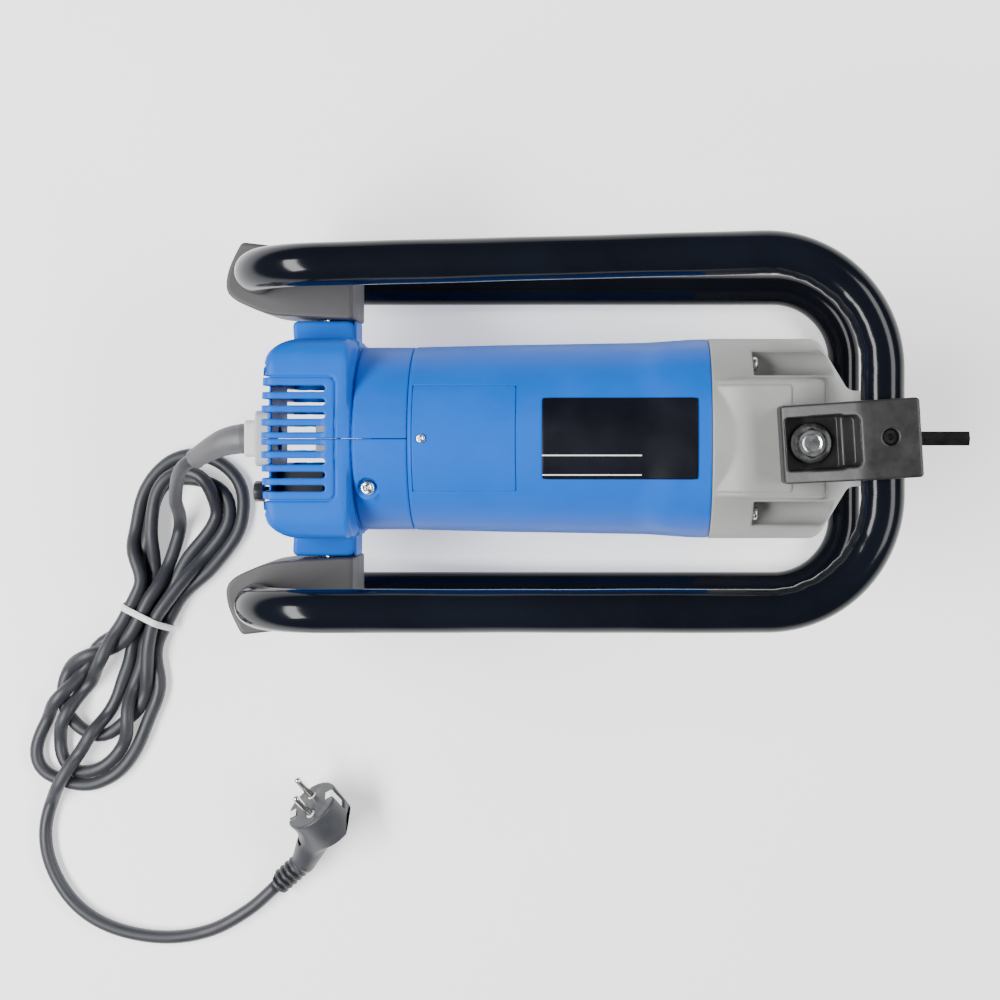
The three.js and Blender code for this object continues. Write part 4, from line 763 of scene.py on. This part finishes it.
def bracket_field(side):
    """Inside every straight edge of the outline, with its corners rounded; the riser's bore, the bolt's hole
    and its counterbore are taken out."""
    ends = np.roll(BRACKET, -1, 0)

    def field(x, y, z):
        z0, sy = z - AXIS_Z, side * y
        body = None
        for (x0, y0), (x1, y1) in zip(BRACKET, ends):
            long = np.hypot(x1 - x0, y1 - y0)
            edge = ((x - x0) * (y1 - y0) - (sy - y0) * (x1 - x0)) / long
            body = edge if body is None else smax(body, edge, 2.5)
        body = smax(body, np.abs(z0) - BRACKET_HALF_HEIGHT, 1.8)
        riser = np.hypot(x - HOOP_REAR, sy - HOOP_HALF_WIDTH) - 11.7
        from_bolt = np.hypot(x - BRACKET_BOLT_X, z0)
        hole = from_bolt - 4.3
        head = np.maximum(from_bolt - 8, 92 - sy)
        return smax(body, -np.minimum(riser, np.minimum(hole, head)), 0.9)
    return field


bracket_grey = finish("bracket_grey", (0.05, 0.048, 0.05), 0.55, mottle=0.1, patch=45, grain=800, bump=0.5,
                      depth=0.1)
for side, name, low, high in ((1, "left", (-248, 76, 68), (-161, 131, 129)),
                              (-1, "right", (-248, -131, 68), (-161, -76, 129))):
    place(mesh(f"bracket_{name}", *skin(bracket_field(side), low, high, 1.0)), "machine", "bracket_grey",
          bracket_grey, f"side_bracket_{name}")
dress(zinc, "side_bracket_bolt_left", "side_bracket_bolt_right")

# ---- cable entry and power button ----
# A pale nylon plate and gland screwed to the rear shell, with the cord's tapered rubber sleeve coming out
# of it, and beside it the black push button of the power switch.
GLAND_PLATE_HALF, GLAND_HALF = 18.4, 12.2
SLEEVE_LINE = [(-231, 0, 98.5), (-238, 0, 98.5), (-246, -0.8, 97.3), (-255, -3.1, 94.8), (-264, -7.2, 90.6),
               (-271, -11, 86.4), (-276, -14, 83)]
SLEEVE_RADII = (9.9, 9.9, 9.8, 9.0, 7.9, 7.1, 6.6)


def gland_plate_field(x, y, z):
    """A rounded square plate against the rear shell with a thicker block in front, bored for the sleeve."""
    z0 = z - AXIS_Z
    plate = smax(rounded(y, z0, GLAND_PLATE_HALF, GLAND_PLATE_HALF, 5), np.abs(x + 224.2) - 4.7, 1.2)
    bore = np.hypot(y, z0) - 10.3
    screws = np.hypot(np.abs(y) - 14, np.abs(z0) - 14) - 2.2
    return smax(plate, -np.minimum(bore, np.maximum(screws, x + 227.5)), 0.5)


def gland_field(x, y, z):
    """A square block with rounded edges, bored for the sleeve."""
    z0 = z - AXIS_Z
    block = smax(rounded(y, z0, GLAND_HALF, GLAND_HALF, 3.5), np.abs(x + 233.2) - 3.8, 1)
    return smax(block, 10.2 - np.hypot(y, z0), 0.5)


white_nylon = finish("white_nylon", (0.62, 0.62, 0.6), 0.45, mottle=0.05, patch=60, grain=900, bump=0.15)
grey_nylon = finish("grey_nylon", (0.42, 0.43, 0.42), 0.5, mottle=0.06, patch=60, grain=900, bump=0.2)
sleeve_rubber = finish("sleeve_rubber", (0.10, 0.10, 0.105), 0.5, mottle=0.1, patch=80, grain=1100, bump=0.3,
                       depth=0.05)
place(mesh("gland_plate", *skin(gland_plate_field, (-230, -19.5, 79), (-218.5, 19.5, 118), 0.8)), "machine",
      "white_plastic", grey_nylon, "cable_gland_plate")
place(mesh("gland_block", *skin(gland_field, (-238, -13.5, 85), (-228, 13.5, 112), 0.7)), "machine",
      "white_plastic", white_nylon, "cable_gland")
taper = spaced([(*p, r) for p, r in zip(SLEEVE_LINE, SLEEVE_RADII)], 1.0)
along = np.arange(len(taper))
bands = 0.35 * np.exp(-((along - 9) / 1.2) ** 2) + 0.5 * np.exp(-((along - len(taper) + 1.5) / 1.5) ** 2)
first, second = frames(taper[:, :3])
a = np.linspace(0, 2 * np.pi, 40, endpoint=False)
spokes = np.cos(a)[:, None] * first[:, None] + np.sin(a)[:, None] * second[:, None]
outer = taper[:, None, :3] + (taper[:, 3] + bands)[:, None, None] * spokes
inner = (taper[:, None, :3] + (CORD_RADIUS + 0.05) * spokes)[::-1]
place(turned("cord_boot", np.concatenate([outer, inner])), "machine", "cord_rubber", sleeve_rubber,
      "cord_sleeve")

# The knob: (along X, radius) from the middle of its pressed face round the head and down the stem. Its
# head has eight shallow flutes.
KNOB_PROFILE = [(-232.5, 0.3), (-232.5, 3.6), (-232.0, 4.4), (-231.9, 5.2), (-232.2, 6.2), (-231.6, 6.9),
                (-231, 7), (-226, 7), (-225.5, 6.6), (-225.5, 3.2), (-208, 3.2), (-208, 0.3)]
a = np.linspace(0, 2 * np.pi, 72, endpoint=False)
rings = []
for x, r in KNOB_PROFILE:
    fluted = r * (1 - 0.045 * (0.5 - 0.5 * np.cos(8 * a))) if r > 5 else r
    rings.append(np.stack([x + 0 * a, KNOB_Y + fluted * np.cos(a), AXIS_Z + fluted * np.sin(a)], -1))
knob = capped("push_button", rings)
knob_black = finish("knob_black", (0.018, 0.018, 0.02), 0.35, mottle=0.2, patch=90, grain=900, bump=0.15)
place(knob, "button", "black_plastic", knob_black, "power_button")

# ---- plug ----
# Moulded earthed plug of the angled kind with two round pins: a flat face with an earth strip let into
# either edge, a hood that leads down to a ringed strain relief, all in the cord's own dark rubber.
PLUG_FACE = np.array((-204.9, -258.4, 34.5))
PLUG_NORMAL = np.array((-0.512, 0.72, 0.47))
PIN_LINE = np.array((-0.12, 0.54, -0.83))
BOOT_START, BOOT_END = np.array((-213.5, -303, 13)), np.array((-232.9, -320.8, 9))
plug_w = PLUG_NORMAL / np.linalg.norm(PLUG_NORMAL)
plug_a = PIN_LINE - (PIN_LINE @ plug_w) * plug_w
plug_a /= np.linalg.norm(plug_a)
plug_b = np.cross(plug_w, plug_a)


def plug_field(x, y, z):
    """A round body under the flat face, blended with a tapering hood to the ringed strain relief; two earth
    grooves, the pin wells and a thumb hollow are taken out."""
    dx, dy, dz = x - PLUG_FACE[0], y - PLUG_FACE[1], z - PLUG_FACE[2]
    a = dx * plug_a[0] + dy * plug_a[1] + dz * plug_a[2]
    b = dx * plug_b[0] + dy * plug_b[1] + dz * plug_b[2]
    w = dx * plug_w[0] + dy * plug_w[1] + dz * plug_w[2]
    radius = np.hypot(a, b)
    body = smax(radius - 20.5 - 0.07 * w, np.abs(w + 13.5) - 13.5, 1.6)
    body = smax(body, np.maximum(np.abs(b) - 19.3, -w - 30), 1)
    root = PLUG_FACE - 15 * plug_w
    lead = BOOT_START - root
    long = np.linalg.norm(lead)
    lead = lead / long
    rx, ry, rz = x - root[0], y - root[1], z - root[2]
    t = np.clip((rx * lead[0] + ry * lead[1] + rz * lead[2]) / long, 0, 1)
    t_long = t * long
    off = np.sqrt((rx - t_long * lead[0]) ** 2 + (ry - t_long * lead[1]) ** 2 + (rz - t_long * lead[2]) ** 2)
    hood = off - (14.5 - 5.6 * t)
    body = smin(body, smax(hood, w + 3, 2), 7)
    boot = BOOT_END - BOOT_START
    reach = np.linalg.norm(boot)
    boot = boot / reach
    bx, by, bz = x - BOOT_START[0], y - BOOT_START[1], z - BOOT_START[2]
    s = bx * boot[0] + by * boot[1] + bz * boot[2]
    off = np.sqrt((bx - s * boot[0]) ** 2 + (by - s * boot[1]) ** 2 + (bz - s * boot[2]) ** 2)
    ring_depth = 1.5 * np.clip(np.cos(2 * np.pi * (s - 2) / 4.6) * 1.4, -1, 1)
    last_ring = s >= reach - 2.5
    relief = smax(off - 7.0 - np.where(last_ring, 1.3, ring_depth), np.abs(s - reach / 2) - reach / 2, 0.8)
    body = smin(body, 0.8 * relief, 1)
    body = smax(body, 0.3 - z, 0.5)
    groove = np.maximum(rounded(a, np.abs(b) - 20, 4.2, 2.2, 0.6), -w - 13)
    pins = np.maximum(np.hypot(np.abs(a) - 9.5, b) - 3.4, -w - 1.2)
    sockets = np.maximum(np.hypot(np.abs(a) - 9.5, b) - 2.6, -w - 4)
    thumb = np.maximum(np.abs(np.abs(b) - 21.5) - 3.4, np.abs(w + 20) - 4 + 0.05 * a * a)
    return smax(body, -np.minimum(np.minimum(groove, thumb), np.minimum(pins, sockets)), 0.6)


plug_rubber = finish("plug_rubber", (0.035, 0.037, 0.043), 0.42, mottle=0.15, patch=90, grain=1200, bump=0.25,
                     depth=0.05)
place(mesh("plug_moulding", *skin(plug_field, (-236, -328, -1), (-180, -236, 56), 0.75)), "machine",
      "cord_rubber", plug_rubber, "plug_body")
nickel = finish("nickel", (0.72, 0.71, 0.68), 0.2, metal=1.0, mottle=0.08, patch=150, grain=2000, bump=0.1,
                depth=0.02)
pin_height = np.array([-0.9, 0.0, 2, 15, 17.2, 18.3, 18.9, 19.2])
pin_radius = np.array([2.4, 2.4, 2.4, 2.4, 2.4, 2.1, 1.4, 0.4])
# An earth strip's section: (from the middle, above the face), the same along its length.
STRIP = [(18.1, -11), (18.1, 0.4), (17.4, 0.9), (12.6, 0.9), (12.6, 0.5), (17.0, 0.4), (17.5, 0.0), (17.5, -11)]
strip_along = np.array([-3.4, -3.2, 3.2, 3.4])
for number, side in ((1, 1), (2, -1)):
    foot = PLUG_FACE + side * 9.5 * plug_a
    place(tube(f"pin_{number}", foot + pin_height[:, None] * plug_w, pin_radius, 24), "machine", "bare_steel",
          nickel, f"plug_pin_{number}")
    collar = tube(f"pin_collar_{number}", foot + np.array([-1.1, -1.0, 0.2, 0.5])[:, None] * plug_w,
                  np.array([3.3, 3.3, 3.3, 2.9]), 24)
    place(collar, "machine", "white_plastic", white_nylon)
    rows = np.array([PLUG_FACE + strip_along[:, None] * plug_a + side * out * plug_b + up * plug_w
                     for out, up in STRIP])
    n, m = rows.shape[:2]
    strip = mesh(f"earth_strip_{number}", rows.reshape(-1, 3),
                 (np.array(grid_faces(n + 1, m, wrap=False)) % (n * m)).tolist()
                 + [[i * m for i in range(n)], [i * m + m - 1 for i in range(n)]], smooth=False)
    outward(strip)
    place(strip, "machine", "bare_steel", nickel)

# ---- cord tie ----
# A white nylon strap pulled tight round the strands where they cross the middle of the hank. It follows
# the strands' outline: the support lines of their centres, moved out by the cord's radius.
near = np.abs((cord_line[:, :2] - TIE_CENTRE) @ HANK_UP) < 4
strands = np.stack([(cord_line[near, :2] - TIE_CENTRE) @ HANK_ACROSS, cord_line[near, 2]], 1)
t = np.linspace(0, 2 * np.pi, 96, endpoint=False)
support = np.max(strands @ np.stack([np.cos(t), np.sin(t)]), 0) + CORD_RADIUS + 0.25
slope = np.gradient(np.concatenate([support[-2:], support, support[:2]]), t[1] - t[0])[2:-2]
loop = np.stack([support * np.cos(t) - slope * np.sin(t), support * np.sin(t) + slope * np.cos(t)], 1)
loop[:, 1] = np.maximum(loop[:, 1], 0.15)
normal = np.stack([np.cos(t), np.sin(t)], 1)
rows = []
for across, lift in ((-2.3, 0), (-2.3, 0.9), (-1.9, 1.15), (1.9, 1.15), (2.3, 0.9), (2.3, 0)):
    at = loop + lift * normal
    flat = TIE_CENTRE + across * HANK_UP + at[:, :1] * HANK_ACROSS
    rows.append(np.column_stack([flat, np.maximum(at[:, 1], 0.05 + 0.02 * lift)]))
tie_nylon = finish("tie_nylon", (0.78, 0.78, 0.76), 0.38, mottle=0.04, patch=90, grain=900, bump=0.1)
place(turned("tie_strap", rows), "machine", "white_plastic", tie_nylon, "cord_tie")

# ---- inside the machine ----
# Rotor, windings, brush gear, switch and terminals: steel and laminated iron, lacquered copper, brass,
# carbon and moulded plastic, as they show through the vents.
copper = finish("copper_wire", (0.45, 0.17, 0.06), 0.35, metal=0.9, mottle=0.25, patch=300, grain=900, bump=0.6,
                depth=0.2)
brass = finish("brass", (0.55, 0.40, 0.16), 0.35, metal=1.0, mottle=0.15, patch=120, grain=900)
carbon = finish("carbon", (0.02, 0.02, 0.022), 0.7, mottle=0.3, patch=200, grain=1200, bump=0.4)
laminate = finish("laminate", (0.22, 0.23, 0.25), 0.45, metal=0.8, mottle=0.15, patch=100, grain=900,
                  stretch=(8, 1, 1))
ground_steel = finish("ground_steel", (0.42, 0.43, 0.45), 0.28, metal=1.0, mottle=0.12, patch=120, grain=900,
                      bump=0.2, depth=0.03)
inner_black = finish("inner_black", (0.015, 0.015, 0.017), 0.5, mottle=0.2, patch=80, grain=900)
dress(copper, "armature_winding", "commutator", "field_coil_upper", "field_coil_lower")
dress(brass, "brush_holder_top", "brush_holder_bottom")
dress(carbon, "carbon_brush_top", "carbon_brush_bottom")
dress(laminate, "armature_core", "stator_core")
dress(ground_steel, "rotor_shaft", "front_bearing", "rear_bearing", "brush_spring_top", "brush_spring_bottom")
dress(inner_black, "cooling_fan", "rear_bearing_bracket", "brush_yoke", "power_switch")
dress(black_oxide, "drive_spindle")
dress(white_nylon, "terminal_block")

# ---- floor, light and camera ----
# A white floor and plain soft studio light; the camera looks straight down from 1.28 m, as over a
# table, with the machine to the right of and above the middle of its view.
CAMERA = (-0.0012, 0, 1.28)
LENS = 63.54
SHIFT = (-0.10, -0.0615)
FLOOR_REACH = 9000

floor_white = finish("floor_white", (0.95, 0.95, 0.95), 0.9, mottle=0.01, patch=3, grain=40, bump=0.02)
shader = floor_white.node_tree.nodes["Principled BSDF"]
shader.inputs["Emission Color"].default_value = (1, 1, 1, 1)
shader.inputs["Emission Strength"].default_value = 0.6
floor = mesh("floor", [(x * FLOOR_REACH, y * FLOOR_REACH, 0) for x, y in ((-1, -1), (1, -1), (1, 1), (-1, 1))],
             [(0, 1, 2, 3)])
floor.data.materials.append(floor_white)


def softbox(name, place_m, aim, size, power):
    """A rectangular lamp of size metres at place_m that faces aim."""
    data = bpy.data.lights.new(name, "AREA")
    data.shape = "RECTANGLE"
    data.size, data.size_y = size
    data.energy = power
    lamp = bpy.data.objects.new(name, data)
    bpy.context.scene.collection.objects.link(lamp)
    lamp.location = place_m
    lamp.rotation_euler = (Vector(aim) - Vector(place_m)).to_track_quat("-Z", "Y").to_euler()
    return lamp


softbox("light_left", (-1.3, -0.25, 1.6), (0, 0, 0.1), (1.9, 0.55), 92)
softbox("light_right", (1.5, 0.2, 1.5), (0, 0, 0.1), (1.9, 0.7), 46)
world = bpy.data.worlds.new("studio")
world.use_nodes = True
world.node_tree.nodes["Background"].inputs["Color"].default_value = (1, 1, 1, 1)
world.node_tree.nodes["Background"].inputs["Strength"].default_value = 0.12
bpy.context.scene.world = world

lens = bpy.data.cameras.new("camera")
lens.lens, lens.sensor_width = LENS, 36
lens.shift_x, lens.shift_y = SHIFT
camera = bpy.data.objects.new("camera", lens)
camera.location = CAMERA
bpy.context.scene.collection.objects.link(camera)
bpy.context.scene.camera = camera
